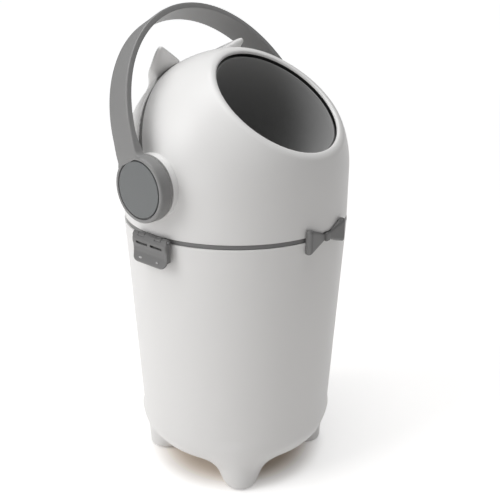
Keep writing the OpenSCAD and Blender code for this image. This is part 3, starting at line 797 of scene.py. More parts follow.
@dataclass
class BodyShell(Datum):
    """The white body with its four feet, its ledge and the pads under it."""

    belly: float = 30.0
    belly_round: float = 40.0
    rim_edge: float = 1.1
    rim_lead: float = 0.7
    ledge_r: float = 125.0
    ledge_t: float = 3.0
    ledge_edge: float = 0.6
    ledge_root: float = 0.8
    foot_ring: float = 102.0
    foot_tip: float = 19.5
    foot_top: float = 39.0
    foot_len: float = 44.0
    foot_lean: float = 21.8
    foot_edge: float = 5.0
    foot_blend: float = 17.0
    pad_r: float = 12.0
    pad_t: float = 3.0
    pad_proud: float = 1.2
    pad_ribs: tuple[float, float] = (3.0, 8.0)
    rib: float = 0.5
    lug_y: float = 12.0
    lug_half: float = 5.5
    lug_x: tuple[float, float] = (141.3, 136.5)
    lug_z: tuple[float, float] = (333.6, 335.2)
    boss_r: float = 4.5
    boss_at: tuple[float, float] = (13.0, 326.5)
    boss_x: tuple[float, float] = (132.2, 138.5)
    spine: tuple[float, float] = (80.0, 68.0)
    wall_foot: float = 78.0
    wall_rows: tuple[float, ...] = (78.0, 110.0, 160.0, 210.0, 250.0, 280.0)
    upper_row: float = 322.0
    columns: int = 360

    def field_of(self, p: np.ndarray) -> np.ndarray:
        """Distance to the outside of body and feet.

        Args:
            p: Points.

        Returns:
            The distances, negative inside.
        """
        x, y, z = p[..., 0], p[..., 1], p[..., 2]
        r = np.hypot(x, y)
        t = math.radians(self.taper)
        bend_z = self.belly + self.belly_round
        bend_r = self.wall_r(bend_z) - self.belly_round / math.cos(t)
        side = (r - self.wall_r(z)) * math.cos(t)
        bend = np.hypot(r - bend_r, z - bend_z) - self.belly_round
        d = np.where((r > bend_r) & (z < bend_z), bend, np.maximum(side, self.belly - z))
        a = np.abs(np.mod(np.arctan2(y, x), QUARTER) - QUARTER / 2)
        px, py = r * np.cos(a) - self.foot_ring, r * np.sin(a)
        lean = math.radians(self.foot_lean)
        ux, uz = -math.sin(lean), math.cos(lean)
        along = px * ux + z * uz
        off = np.sqrt(np.maximum((px - along * ux) ** 2 + py**2 + (z - along * uz) ** 2, 1e-9))
        k = (self.foot_top - self.foot_tip) / self.foot_len
        foot = (off - self.foot_tip - along * k) / math.hypot(1, k)
        foot = soft_max(foot, self.pad_proud - z, self.foot_edge)
        return soft_min(d, foot, self.foot_blend)

    def lower_rows(self, inset: float, steps: int) -> np.ndarray:
        """Rows from the wall over the feet to the middle of the underside.

        Args:
            inset: Distance to draw the surface inwards.
            steps: Number of rows.

        Returns:
            Rows by columns by 3.
        """
        a = np.arange(self.columns) * 2 * math.pi / self.columns
        rs, zs = self.spine
        short, reach = 0.004, 120.0
        phi = (math.atan2(self.belly + inset - zs, -rs) - short) * np.linspace(0, 1, steps)
        flat, up = np.cos(phi)[:, None], np.sin(phi)[:, None]
        way = np.stack([flat * np.cos(a), flat * np.sin(a), up + 0 * a], -1)
        start = np.broadcast_to(np.stack([rs * np.cos(a), rs * np.sin(a), zs + 0 * a], -1), way.shape)
        return march(lambda p: self.field_of(p) + inset, start, way, reach)

    def wall_profile(self) -> tuple[list[Row], list[Row]]:
        """Outlines of the wall.

        Returns:
            The outer rows from the rim down, and the inner rows from the belly up over the ledge.
        """
        w = self.wall / math.cos(math.radians(self.taper))
        edge, bead, root, lead = self.rim_edge, self.ledge_edge, w + self.ledge_root, self.rim_lead
        top, high, under = self.wall_r(self.rim), self.ledge + 1, self.ledge - self.ledge_t
        outer = arc(top - edge, self.rim - edge, edge, 0, QUARTER, 5)
        outer += [(self.wall_r(z), z) for z in np.linspace(self.rim - 6, self.wall_foot, 40)]
        inner = [(self.wall_r(z) - w, z) for z in self.wall_rows]
        inner += [(self.wall_r(under) - root, under - 0.1), (self.ledge_r + bead, under)]
        inner += [(self.ledge_r, under + bead), (self.ledge_r, self.ledge - bead)]
        inner += [(self.ledge_r + bead, self.ledge), (self.wall_r(self.ledge) - root, self.ledge)]
        inner += [(self.wall_r(z) - w, z) for z in (high, self.upper_row)]
        inner += [(top - w, self.rim - lead), (top - w + lead, self.rim)]
        return outer, inner

    def shell(self) -> bpy.types.Object:
        """Builds the body as one closed skin, inside and outside, with its lugs and bosses.

        Returns:
            The body.
        """
        base = Place()
        outer, inner = self.wall_profile()
        low_out = self.lower_rows(0.0, 96)
        low_in = self.lower_rows(self.wall, 64)[::-1]
        shape = Shape()
        ids = shape.sheet(np.concatenate([turned(outer, base, self.columns), low_out]), close_cols=True)
        more = shape.sheet(np.concatenate([low_in, turned(inner, base, self.columns)]), close_cols=True)
        for i in range(self.columns):
            j = (i + 1) % self.columns
            shape.faces.append((int(more[-1, i]), int(more[-1, j]), int(ids[0, j]), int(ids[0, i])))
        shape.lid(ids[-1])
        shape.lid(more[0])
        tip, root = self.lug_x
        r, (low, high) = self.boss_r, self.boss_x
        boss = [(0.0, low), (r - 0.6, low), (r, low + 0.6), (r, high), (0.0, high)]
        for s, _ in SIDES:
            y0, y1 = s * self.lug_y - self.lug_half, s * self.lug_y + self.lug_half
            lug = rounded([(-tip, y0, 1), (-root, y0, 0), (-root, y1, 0), (-tip, y1, 1)])
            shape.prism(lug, base, *self.lug_z, 0.4)
            shape.lathe(boss, self.outward(s * self.boss_at[0], self.boss_at[1]), 32, closed=False)
        return shape.build("base_bucket", 40)

    def pads(self) -> bpy.types.Object:
        """Builds the ribbed rubber pads under the feet.

        Returns:
            The pads as one object.
        """
        r, t, rib = self.pad_r, self.pad_t, self.rib
        profile = [(0.0, 0.0)]
        for at in self.pad_ribs:
            profile += [(at, 0.0), (at + rib, rib), (at + 3 * rib, rib), (at + 4 * rib, 0.0)]
        profile += [(r - 0.8, 0.0), (r - 0.2, 0.25), (r, 0.8), (r, t), (0.0, t)]
        turns = [math.radians(45 + 90 * k) for k in range(4)]
        places = [Place((self.foot_ring * math.cos(a), self.foot_ring * math.sin(a), 0)) for a in turns]
        return turned_solid("foot_pads", profile, places, 48)

    def fit(self) -> None:
        """Puts the body's pieces on the bin."""
        install(self.shell(), Body.BASE, Finish.SHELL)
        install(self.pads(), Body.BASE, Finish.PAD)


@dataclass
class Hood(Datum):
    """The head's front shell with the mouth, and its rear shell with the ears."""

    mouth_r: float = 80.0
    lip_r: float = 13.0
    lip_edge: float = 3.0
    rim_edge: float = 0.9
    pad_r: float = 37.2
    pad_edge: float = 0.8
    pad_blend: float = 1.0
    bush_r: float = 13.05
    bush_in: float = 129.9
    arch_out: float = 136.4
    arch_in: float = 133.6
    groove_front: float = 4.0
    groove_back: float = 11.5
    groove_edge: float = 2.8
    groove_deep: float = 2.2
    back_edge: float = 3.2
    ear_tip: Point = (70.4, 52.0, 138.2)
    ear_root: Point = (43.0, 70.4, 103.2)
    ear_tip_r: float = 5.5
    ear_root_r: float = 24.6
    ear_blend: float = 9.0
    ear_lean: float = 30.0
    ear_front: float = 107.0
    ear_below: float = 4.0
    ear_skin: float = 1.0
    ear_rounds: tuple[float, float] = (12.0, 14.0)
    wall_columns: int = 240
    arc_columns: int = 200

    def groove_arc(self, y: float, r: float, count: int) -> np.ndarray:
        """Points over the head on a plane of the handle's frame.

        Args:
            y: Distance of the plane behind the handle's own plane.
            r: Radius from the middle of the head.
            count: Number of points, from the +X hub to the -X hub.

        Returns:
            One row for each point.
        """
        rr = math.sqrt(r * r - y * y)
        first = math.asin(y * math.tan(math.radians(self.tilt)) / rr)
        a = np.linspace(first, math.pi - first, count)
        return self.arch().put(np.stack([rr * np.cos(a), 0 * a + y, rr * np.sin(a)], -1))

    def patch(self, rim: np.ndarray, r: float, near: float, rows: int, axis: np.ndarray) -> np.ndarray:
        """Fills the sphere between a ring about an axis and a rim.

        Args:
            rim: Rim points on the sphere.
            r: Radius of the sphere.
            near: Angle of the ring from the axis.
            rows: Number of rows.
            axis: The axis, of length one.

        Returns:
            Rows by columns by 3, from the ring to the rim.
        """
        c = np.array([0, 0, self.hub])
        b = rim - c
        b /= np.linalg.norm(b, axis=1, keepdims=True)
        far = np.arccos(np.clip(b @ axis, -1, 1))
        side = b - (b @ axis)[:, None] * axis
        side /= np.maximum(np.linalg.norm(side, axis=1, keepdims=True), 1e-9)
        w = near + (far - near) * np.linspace(0, 1, rows)[:, None]
        return c + r * (np.cos(w)[..., None] * axis + np.sin(w)[..., None] * side)

    def lip_rows(self, half: float, lip_c: float, lip_a: float) -> list[Row]:
        """Outline of the rolled lip, from the dome over the lip to the inside.

        Args:
            half: Angle of the lip's start from the mouth's axis.
            lip_c: Radius of the roll's middle from the mouth's axis.
            lip_a: Height of the roll's middle along the axis.

        Returns:
            (radius, height) rows about the mouth's axis.
        """
        top = lip_a + self.lip_r - self.lip_edge
        rows = arc(lip_c, lip_a, self.lip_r, half, 0, 12)[1:]
        rows += arc(lip_c, top, self.lip_edge, 0, -QUARTER, 8)[1:]
        return rows + arc(lip_c, lip_a, self.lip_r - self.wall, 0, half, 6)

    def lower_wall(self, shape: Shape) -> None:
        """Adds the straight wall between the dome and the seam.

        Args:
            shape: The shell to add it to.
        """
        wall_in, n, edge = self.dome_r - self.wall, self.wall_columns, self.rim_edge
        profile = [(self.dome_r, z) for z in np.linspace(self.hub, self.seam + edge, 12)]
        profile += arc(self.dome_r - edge, self.seam + edge, edge, QUARTER + 0.4, math.pi, 4)
        profile += [(wall_in, self.seam)] + [(wall_in, z) for z in np.linspace(self.seam + 4, self.hub, 8)]
        ids = shape.sheet(turned(profile, Place(), n), close_cols=True)
        for i in range(n // 2):
            shape.faces.append((int(ids[0, i]), int(ids[0, i + 1]), int(ids[-1, i + 1]), int(ids[-1, i])))

    def front(self) -> bpy.types.Object:
        """Builds the front shell: wall, dome, lip, hub pads and groove edge.

        Returns:
            The front shell.
        """
        shape = Shape()
        self.lower_wall(shape)
        c = np.array([0, 0, self.hub])
        wall_in, n, cols = self.dome_r - self.wall, self.wall_columns, self.arc_columns
        az = np.arange(n // 2, n + 1) * 2 * math.pi / n
        circle = np.stack([np.cos(az), np.sin(az), 0 * az], -1)
        y_out = self.groove_front - self.groove_edge
        over_out = self.groove_arc(y_out, self.dome_r, cols)
        over_in = self.groove_arc(self.groove_front, wall_in, cols)
        rim_out = np.concatenate([c + self.dome_r * circle, over_out[1:-1]])
        rim_in = np.concatenate([c + wall_in * circle, over_in[1:-1]])
        m = np.array(self.mouth().z)
        lip_c = self.mouth_r + self.lip_edge
        reach = self.dome_r - self.lip_r
        half = math.asin(lip_c / reach)
        lip_a = math.sqrt(reach * reach - lip_c * lip_c)
        outer = self.patch(rim_out, self.dome_r, half, 40, m)
        inner = self.patch(rim_in, wall_in, half, 24, m)
        b = outer[0] - c
        side = b - (b @ m)[:, None] * m
        side /= np.linalg.norm(side, axis=1, keepdims=True)
        ring = np.array([c + rho * side + ax * m for rho, ax in self.lip_rows(half, lip_c, lip_a)])
        shape.sheet(np.concatenate([outer[::-1], ring, inner[1:]]), close_cols=True)
        e = self.groove_edge
        strip = [self.groove_arc(y, r, cols) for y, r in arc(y_out, self.dome_r - e, e, 0, QUARTER, 6)]
        shape.sheet(np.array(strip + [over_in]))
        y0, y1 = self.groove_front - 4, self.groove_back + 10
        under = [(y0, self.arch_out), (y1, self.arch_out), (y1, self.arch_in), (y0, self.arch_in)]
        shape.sheet(np.array([self.groove_arc(y, r, 80) for y, r in under]), close_rows=True)
        for s, _ in SIDES:
            self.hub_pad(shape, s)
        return shape.build("hood_front", 35)

    def hub_pad(self, shape: Shape, s: int) -> None:
        """Adds the raised pad round one hub, blended into the head.

        Args:
            shape: The shell to add it to.
            s: Side of the head, -1 or 1.
        """
        n = 160
        a = np.arange(n) * 2 * math.pi / n
        edge, blend, face = self.pad_edge, self.pad_blend, self.hub_face
        outer = self.pad_r + blend

        def depth(r: float) -> np.ndarray:
            """Distance of the head's outside from the middle, round a circle about the hub.

            Args:
                r: Radius of the circle.

            Returns:
                The distance at each column.
            """
            u, v = r * np.cos(a), r * np.sin(a)
            inside = np.where(v > 0, self.dome_r**2 - u * u - v * v, self.dome_r**2 - u * u)
            return np.sqrt(np.maximum(inside, 0))

        def ring_at(r: float, x: np.ndarray | float) -> np.ndarray:
            """Points on a ring about the hub's axis."""
            return self.side(s).put(np.stack([r * np.cos(a), r * np.sin(a), x + 0 * a], -1))

        rows = [ring_at(self.bush_r, self.bush_in), ring_at(self.bush_r, face - 0.5)]
        rows.append(ring_at(self.bush_r + 0.5, face))
        rows += [ring_at(r, x) for r, x in arc(self.pad_r - edge, face - edge, edge, 0, QUARTER, 7)]
        foot = depth(outer)
        room = np.minimum(blend, 0.9 * np.maximum(face - edge - foot, 0.2))
        for k in np.linspace(0, QUARTER, 6):
            rows.append(ring_at(self.pad_r + blend * (1 - math.cos(k)), foot + (1 - math.sin(k)) * room))
        rows.append(ring_at(outer + 0.8, depth(outer + 0.8) - 0.25))
        rows += [ring_at(outer - 1, 133.0), ring_at(18.0, self.bush_in)]
        shape.sheet(np.array(rows), close_rows=True, close_cols=True)

    def ear_field(self, q: np.ndarray) -> np.ndarray:
        """Distance to the two ears.

        Args:
            q: Points, measured from the middle of the head.

        Returns:
            The distances, negative inside.
        """
        root, tip = np.array(self.ear_root), np.array(self.ear_tip)
        axis = tip - root
        length = float(np.linalg.norm(axis))
        axis = axis / length
        g = np.stack([np.abs(q[..., 0]), q[..., 1], q[..., 2]], -1) - root
        t = g @ axis
        off = np.sqrt(np.maximum((g * g).sum(-1) - t * t, 1e-9))
        k = (self.ear_root_r - self.ear_tip_r) / length
        shift = np.clip(t - off * k, -self.ear_below, length)
        cone = (np.hypot(off, t - shift) - (self.ear_root_r - shift * k)) / math.hypot(1, k)
        lean, tilt = math.radians(self.ear_lean), math.radians(self.tilt)
        y0 = self.ear_front * math.tan(tilt) + self.groove_back / math.cos(tilt)
        flat = -((q[..., 1] - y0) * math.cos(lean) + (q[..., 2] - self.ear_front) * math.sin(lean))
        root_round, front_round = self.ear_rounds
        ear = soft_max(cone - self.ear_skin, -t - self.ear_skin, root_round)
        return soft_max(ear, flat - self.ear_skin, front_round)

    def rear(self) -> bpy.types.Object:
        """Builds the rear shell and its ears as one skin.

        Returns:
            The rear shell.
        """

        def field_of(p: np.ndarray) -> np.ndarray:
            """Distance to the rear shell.

            Args:
                p: Points.

            Returns:
                The distances, negative inside.
            """
            q = p - np.array([0, 0, self.hub])
            behind = self.groove_back - self.arch().read(p)[..., 1]
            away = np.sqrt((q * q).sum(-1))
            d = soft_max(away - self.dome_r, behind, self.back_edge)
            d = soft_min(d, self.ear_field(q), self.ear_blend)
            d = np.maximum(d, -np.maximum(away - self.dome_r - 0.3, -behind))
            d = np.maximum(d, self.hub + 0.2 - p[..., 2])
            d = np.maximum(d, self.dome_r - self.wall - away)
            return np.maximum(d, self.pad_r + 0.3 - np.hypot(q[..., 1], q[..., 2]))

        return skin("hood_rear", field_of, (-143, 0, self.hub - 3), (143, 143, self.hub + 150), 1.35)

    def seal(self) -> bpy.types.Object:
        """Builds the strip that lies in the groove.

        Returns:
            The strip.
        """
        low, top, e = self.arch_out + 0.1, self.dome_r - self.groove_deep, 0.4
        y0, y1 = self.groove_front + 0.1, self.groove_back - 0.1
        rows = [(y0, low), (y0, top - e), (y0 + e, top), (y1 - e, top), (y1, top - e), (y1, low)]
        shape = Shape()
        shape.sheet(np.array([self.groove_arc(y, q, 120) for y, q in rows]), close_rows=True)
        return shape.build("shell_seal")

    def mouth_lip_seal(self) -> bpy.types.Object:
        """Builds the soft ring between lip and drum.

        Returns:
            The ring.
        """
        lip_c = self.mouth_r + self.lip_edge
        lip_a = math.sqrt((self.dome_r - self.lip_r) ** 2 - lip_c**2)
        roll = self.lip_r - self.wall - 0.1
        rows = [(lip_c + x, lip_a + math.sqrt(roll * roll - x * x)) for x in np.linspace(1.5, 6.0, 5)]
        low = self.drum_r + 0.3
        rows += [(r, math.sqrt(low * low - r * r)) for r in np.linspace(89.0, 84.5, 4)]
        return turned_solid("mouth_seal", rows, [self.mouth()], 128, closed=True)

    def fit(self) -> None:
        """Puts the head's shells and seals on the bin."""
        install(self.front(), Body.HEAD, Finish.SHELL)
        install(self.rear(), Body.HEAD, Finish.SHELL)
        install(self.seal(), Body.HEAD, Finish.GROOVE)
        install(self.mouth_lip_seal(), Body.HEAD, Finish.SEAL)


@dataclass(frozen=True)
class Screw:
    """A pan-head screw: its shaft, its head and its threads."""

    shaft: float
    head: float
    pitch: float = 1.1
    core: float = 0.82
    socket: float = 0.4
    socket_deep: float = 0.9

    def profile(self, low: float, seat: float, top: float) -> list[Row]:
        """Outline of the screw with a round-edged head and threads.

        Args:
            low: Height of the shaft's end.
            seat: Height at which the head sits.
            top: Height of the head's top.

        Returns:
            (radius, height) rows from the tip up to the socket in the head.
        """
        r, head, tall, brim = self.shaft, self.head, top - seat, 0.35
        rows = [(0.0, low), (r * 0.5, low)]
        z = low + 0.6
        while z < seat - 1.4:
            rows += [(r * self.core, z), (r, z + 0.5 * self.pitch)]
            z += self.pitch
        rows += [(r, seat), (head, seat), (head, seat + brim * tall)]
        crown = [(math.cos(k), brim + (1 - brim) * math.sin(k)) for k in np.linspace(0.25, 1.1, 5)]
        rows += [(head * x, seat + tall * y) for x, y in crown]
        floor = top - self.socket_deep
        return rows + [(head * self.socket, top), (head * (self.socket - 0.02), floor), (0.0, floor)]


@dataclass
class Drum(Datum):
    """The tipping ball, its cup, the axles and the bushes they turn in."""

    shell_t: float = 2.5
    floor_r: float = 67.6
    cup_t: float = 2.4
    cup_rounds: tuple[float, float] = (6.0, 8.0)
    rim_r: float = 77.6
    lip_r: float = 79.0
    drop: float = 60.0
    tube_t: float = 2.6
    tube_h: float = 13.0
    axle_r: float = 10.0
    axle_x: tuple[float, float] = (108.3, 152.0)
    axle_edge: float = 0.8
    tap_r: float = 2.6
    tap_end: tuple[float, float] = (138.0, 137.0)
    socket_x: tuple[float, float] = (105.3, 127.6)
    socket_wall: float = 5.0
    play: float = 0.05
    bush_r: float = 13.0
    bush_in: float = 131.9
    flange_r: float = 18.0
    flange_t: float = 1.8

    def rim_height(self) -> float:
        """Height of the drum's rim along the mouth's axis."""
        return math.sqrt(self.drum_r**2 - self.lip_r**2)

    def ball(self) -> bpy.types.Object:
        """Builds the ball with its guide tube and axle sockets.

        Returns:
            The ball.
        """
        fit_r, r_in, round_r = self.lip_r + 0.1, self.drum_r - self.shell_t, 0.5
        low, wide = self.rim_height() - self.tube_h, fit_r + self.tube_t
        rows = [(0.0, -self.drum_r)]
        rows += arc(0, 0, self.drum_r, math.pi, math.asin(fit_r / self.drum_r), 64)[1:]
        rows += [(fit_r, low + round_r), (fit_r + round_r, low)]
        rows += [(wide - round_r, low), (wide, low + round_r)]
        rows += arc(0, 0, r_in, math.asin(wide / r_in), math.pi, 48)[:-1]
        rows.append((0.0, -r_in))
        shape = Shape()
        shape.lathe(rows, self.mouth(), 144, closed=False)
        a, r = self.axle_r + self.play, self.axle_r + self.socket_wall
        x0, x1 = self.socket_x
        socket = [(a, x0), (r - 0.6, x0), (r, x0 + 0.6), (r, x1), (a, x1 + 0.3)]
        for s, _ in SIDES:
            shape.lathe(socket, self.side(s), 64)
        return shape.build("drum_ball")

    def cup(self) -> bpy.types.Object:
        """Builds the open cup that holds the nappy.

        Returns:
            The cup.
        """
        top, low, slip = self.rim_height() - 0.1, -self.drop, 0.06
        slope = (self.rim_r - self.floor_r) / (top - low)
        under, (out_r, in_r) = low - self.cup_t, self.cup_rounds
        rows = [(0.0, under)]
        rows += arc(self.floor_r + self.cup_t - out_r, under + out_r, out_r, math.pi, QUARTER + slip, 8)
        rows += [(self.lip_r - 0.6, top - 8), (self.lip_r, top - 6)]
        rows += [(self.lip_r, top - 0.4), (self.lip_r - 0.4, top)]
        rows += [(self.rim_r + 0.4, top), (self.rim_r + 0.1, top - 0.15), (self.rim_r, top - 0.5)]
        rows += [(self.floor_r + slope * (z - low), z) for z in np.linspace(top - 6, low + in_r + 1, 14)]
        rows += arc(self.floor_r + 0.4 - in_r, low + in_r, in_r, QUARTER + slip, math.pi, 10)
        rows += [(20.0, low), (0.0, low)]
        return turned_solid("drum_cup", rows, [self.mouth()], 160)

    def axle_profile(self) -> list[Row]:
        """Outline of an axle with its tapped end.

        Returns:
            (radius, height) rows.
        """
        r, e, (x0, x1), (t0, t1) = self.axle_r, self.axle_edge, self.axle_x, self.tap_end
        rows = [(0.0, x0), (r - e, x0), (r, x0 + e), (r, x1 - e), (r - e, x1)]
        return rows + [(self.tap_r, x1), (self.tap_r, t0), (0.0, t1)]

    def bush_profile(self) -> list[Row]:
        """Outline of a bush with its flange.

        Returns:
            (radius, height) rows.
        """
        b, inner, x, f = self.bush_r, self.axle_r + self.play, self.hub_face + 0.1, self.flange_r
        end = self.hub_face + self.flange_t
        rows = [(inner, self.bush_in), (b - 0.5, self.bush_in), (b, self.bush_in + 0.5), (b, x)]
        return rows + [(f - 0.4, x), (f, x + 0.4), (f, end - 0.3), (f - 0.4, end), (inner, end)]

    def fit(self) -> None:
        """Puts the drum's pieces on the bin."""
        install(self.ball(), Body.DRUM, Finish.DRUM)
        install(self.cup(), Body.DRUM, Finish.DRUM)
        for s, side in SIDES:
            axle = turned_solid(f"axle_{side}", self.axle_profile(), [self.side(s)], 64)
            install(axle, Body.DRUM, Finish.STEEL)
            bush = turned_solid(f"bush_{side}", self.bush_profile(), [self.side(s)], 64, True)
            install(bush, Body.HEAD, Finish.BUSH)


@dataclass
class Handle(Datum):
    """The arched handle with a disc at each end, its caps and hub screws."""

    side_x: float = 156.4
    spring: float = 28.6
    top: float = 199.8
    width: float = 35.0
    thick: float = 7.3
    edges: tuple[float, float] = (1.2, 1.9)
    flare_top: float = 37.75
    flare_r: float = 7.0
    blend_from: float = 36.0
    blend_over: float = 26.0
    stations: int = 150
    disc_r: float = 38.0
    disc_in: float = 150.0
    disc_edges: tuple[float, float, float] = (1.2, 2.6, 0.9)
    face: float = 161.6
    neck_in: float = 144.9
    skirt: tuple[float, float] = (31.0, 146.2)
    join: tuple[float, float] = (31.9, 39.0)
    bore_r: float = 10.05
    bore_end: float = 152.0
    well: tuple[float, float] = (6.0, 3.0)
    screw_r: float = 2.7
    cap_r: float = 32.1
    cap_edge: float = 0.9
    seat_r: float = 33.5
    seat_x: float = 158.0
    cap_top: float = 161.5
    screw: Screw = Screw(2.5, 5.0)
    screw_x: tuple[float, float, float] = (137.0, 155.1, 157.8)

    def half_width(self, z: float) -> float:
        """Half width of the band at a height above the axle, flared into the disc.

        Args:
            z: The height.

        Returns:
            The half width.
        """
        plain = self.width / 2
        if z >= self.flare_top:
            return plain
        if z >= self.join[0]:
            return plain + self.flare_r - math.sqrt(self.flare_r**2 - (z - self.flare_top) ** 2)
        return math.sqrt(self.disc_r**2 - z * z) - 0.25

    def path(self) -> list[tuple[float, float, float, float]]:
        """Follows the band's middle line from disc to disc.

        Returns:
            One (x, z, normal x, normal z) row for each point.
        """
        rise, foot = self.top - self.spring, self.join[0]
        rows = [(self.side_x, foot, 1.0, 0.0)]
        for p in math.pi * np.linspace(0, 1, self.stations)[1:-1]:
            n = unit([rise * math.cos(p), self.side_x * math.sin(p)])
            z = self.spring + rise * math.sin(p)
            if z > foot:
                rows.append((self.side_x * math.cos(p), z, n[0], n[1]))
        return rows + [(-self.side_x, foot, -1.0, 0.0)]

    def band(self, shape: Shape) -> None:
        """Sweeps the band over the head, from inside one disc to inside the other.

        Args:
            shape: The handle to add it to.
        """
        low_z, high_z = self.join
        half, (low_edge, high_edge) = self.thick / 2, self.edges
        inwards, outwards = self.side_x - half - self.disc_in - 0.05, self.face - self.side_x - half - 0.03
        grid = []
        for x, z, nx, nz in self.path():
            near = 1 - float(ease(np.array((z - self.blend_from) / self.blend_over)))
            low, high = -half - near * inwards, half + near * outwards
            w = self.half_width(z)
            corners = [(-w, low, low_edge), (w, low, low_edge)]
            corners += [(w, high, high_edge), (-w, high, high_edge)]
            u, v = rounded(corners, 6).T
            foot = np.maximum(low_z, np.sqrt(np.maximum((self.seat_r + 0.95) ** 2 - u**2, 0)))
            level = foot + (z - low_z) * (high_z - foot) / (high_z - low_z) if z < high_z else z
            grid.append(np.stack([x + nx * v, u, level + nz * v], -1))
        ids = shape.sheet(self.arch().put(np.array(grid)), close_cols=True)
        shape.lid(ids[0])
        shape.lid(ids[-1])

    def disc_profile(self) -> list[Row]:
        """Outline of a disc with its neck, cap seat and screw hole.

        Returns:
            (radius, height) rows.
        """
        (inner, low), e = self.skirt, 0.6
        back, front, seat = self.disc_edges
        well_r, well_t = self.well
        rows = [(self.bore_r, self.neck_in), (inner - e, self.neck_in), (inner, self.neck_in + e)]
        rows += [(inner, low - e), (inner + e, low)]
        rows += arc(self.disc_r - back, low + back, back, math.pi, QUARTER, 5)
        rows += arc(self.disc_r - front, self.face - front, front, QUARTER, 0, 9)
        rows += arc(self.seat_r + seat, self.face - seat, seat, 0, -QUARTER, 5)
        rows += [(self.seat_r, self.seat_x), (well_r, self.seat_x), (well_r, self.seat_x - well_t)]
        rows += [(self.screw_r, self.seat_x - well_t), (self.screw_r, self.bore_end)]
        return rows + [(self.bore_r, self.bore_end)]

    def cap_profile(self) -> list[Row]:
        """Outline of a hub cap.

        Returns:
            (radius, height) rows.
        """
        r, e, back, top = self.cap_r, self.cap_edge, self.seat_x + 0.1, self.cap_top
        rows = [(0.0, back), (r - 0.4, back), (r, back + 0.4)]
        rows += arc(r - e, top - e, e, QUARTER, 0, 6)
        return rows + [(r - 2.2, top), (r * 0.6, top + 0.02), (0.0, top + 0.03)]

    def fit(self) -> None:
        """Puts the handle's pieces on the bin."""
        shape = Shape()
        for s, _ in SIDES:
            shape.lathe(self.disc_profile(), self.side(s), 160)
        self.band(shape)
        install(shape.build("handle"), Body.DRUM, Finish.HANDLE)
        for s, side in SIDES:
            cap = turned_solid(f"hub_cap_{side}", self.cap_profile(), [self.side(s)], 160)
            install(cap, Body.DRUM, Finish.CAP)
        places = [self.side(s) for s, _ in SIDES]
        screws = turned_solid("hub_screws", self.screw.profile(*self.screw_x), places, 40)
        install(screws, Body.DRUM, Finish.STEEL)


@dataclass
class Collar(Datum):
    """The grey collar that closes the head's underside, its screws and the bag ring."""

    web_gap: float = 0.3
    skirt_in: float = 134.4
    skirt_out: float = 136.4
    skirt_h: float = 7.8
    band_r: float = 138.8
    upper_r: float = 136.9
    flange_in: float = 127.0
    flange_t: float = 3.0
    screw: Screw = Screw(1.5, 3.2)
    screw_ring: float = 130.9
    screw_len: float = 14.0
    head_t: float = 2.2
    screws: int = 6
    ring_in: float = 126.0
    ring_foot: float = 133.5
    ring_foot_t: float = 3.0
    ring_t: float = 3.0
    ring_h: float = 26.0
    ear_w: float = 9.6
    ear_root: float = -8.5
    ear_edge: float = 0.5

    def collar(self) -> bpy.types.Object:
        """Builds the collar with the latch's two ears.

        Returns:
            The collar.
        """
        web, top, seam = self.rim + self.web_gap, self.seam - 0.1, self.seam
        foot, over = web - self.skirt_h, self.seam + self.flange_t
        rows = [(self.skirt_in, foot, 0.6), (self.skirt_out, foot, 0.8), (self.skirt_out, web, 0.8)]
        rows += [(self.band_r, web, 0.5), (self.band_r, top, 0.5)]
        rows += [(self.upper_r, top, 0.2), (self.upper_r, over, 0.5)]
        rows += [(self.flange_in, over, 0.6), (self.flange_in, seam, 0.6), (self.skirt_in, seam, 1.0)]
        shape = Shape()
        shape.lathe(rounded(rows, 3), Place(), 240)
        pin_z, b = self.seam - self.latch_drop, self.latch_barrel
        pivot = Place((-self.latch_x, 0, pin_z), (-1, 0, 0), (0, 0, 1), (0, 1, 0))
        low = web + 0.2 - pin_z
        ear = [(self.ear_root, low, 0), (0.5, low, 0.4), (b, -1.2, 1.2), (b, 1.4, 1.8), (1.4, b, 1.8)]
        ear += [(-1.4, b, 1.8), (-3.6, 1.2, 0.6), (self.ear_root, 1.2, 0)]
        for s, _ in SIDES:
            mid, half = s * self.latch_ear, self.ear_w / 2
            shape.prism(rounded(ear, 3), pivot, mid - half, mid + half, self.ear_edge)
        return shape.build("collar_ring")

    def screws_in(self) -> bpy.types.Object:
        """Builds the screws that go up through the flange.

        Returns:
            The screws as one object.
        """
        low = self.seam - 0.1 - self.head_t
        profile = self.screw.profile(-(self.seam + self.screw_len), -(low + self.head_t), -low)
        places = []
        for k in range(self.screws):
            a, r = 2 * math.pi * k / self.screws, self.screw_ring
            places.append(Place((r * math.cos(a), r * math.sin(a), 0), (1, 0, 0), (0, -1, 0), (0, 0, -1)))
        return turned_solid("collar_screws", profile, places, 32)

    def bag_ring(self) -> bpy.types.Object:
        """Builds the ring on the ledge that holds the bag's edge.

        Returns:
            The ring.
        """
        low, wall = self.ledge + 0.3, self.ring_in + self.ring_t
        step, top = low + self.ring_foot_t, low + self.ring_h
        rows = [(self.ring_in, low, 0.6), (self.ring_foot, low, 0.8), (self.ring_foot, step, 1.2)]
        rows += [(wall, step, 2.0), (wall, top, 1.4), (self.ring_in, top, 1.4)]
        return turned_solid("bag_ring", rounded(rows, 5), [Place()], 200, True)

    def fit(self) -> None:
        """Puts the collar, its screws and the bag ring on the bin."""
        install(self.collar(), Body.HEAD, Finish.TRIM)
        install(self.screws_in(), Body.HEAD, Finish.STEEL)
        install(self.bag_ring(), Body.RING, Finish.RING)


def pin_profile(r: float, half: float, edge: float, tip_r: float) -> list[Row]:
    """Outline of a pin with chamfered ends.

    Args:
        r: Radius.
        half: Half its length.
        edge: Length of each chamfer.
        tip_r: Radius of the end faces.

    Returns:
        (radius, height) rows.
    """
    return [(0.0, -half), (tip_r, -half), (r, edge - half), (r, half - edge), (tip_r, half), (0.0, half)]


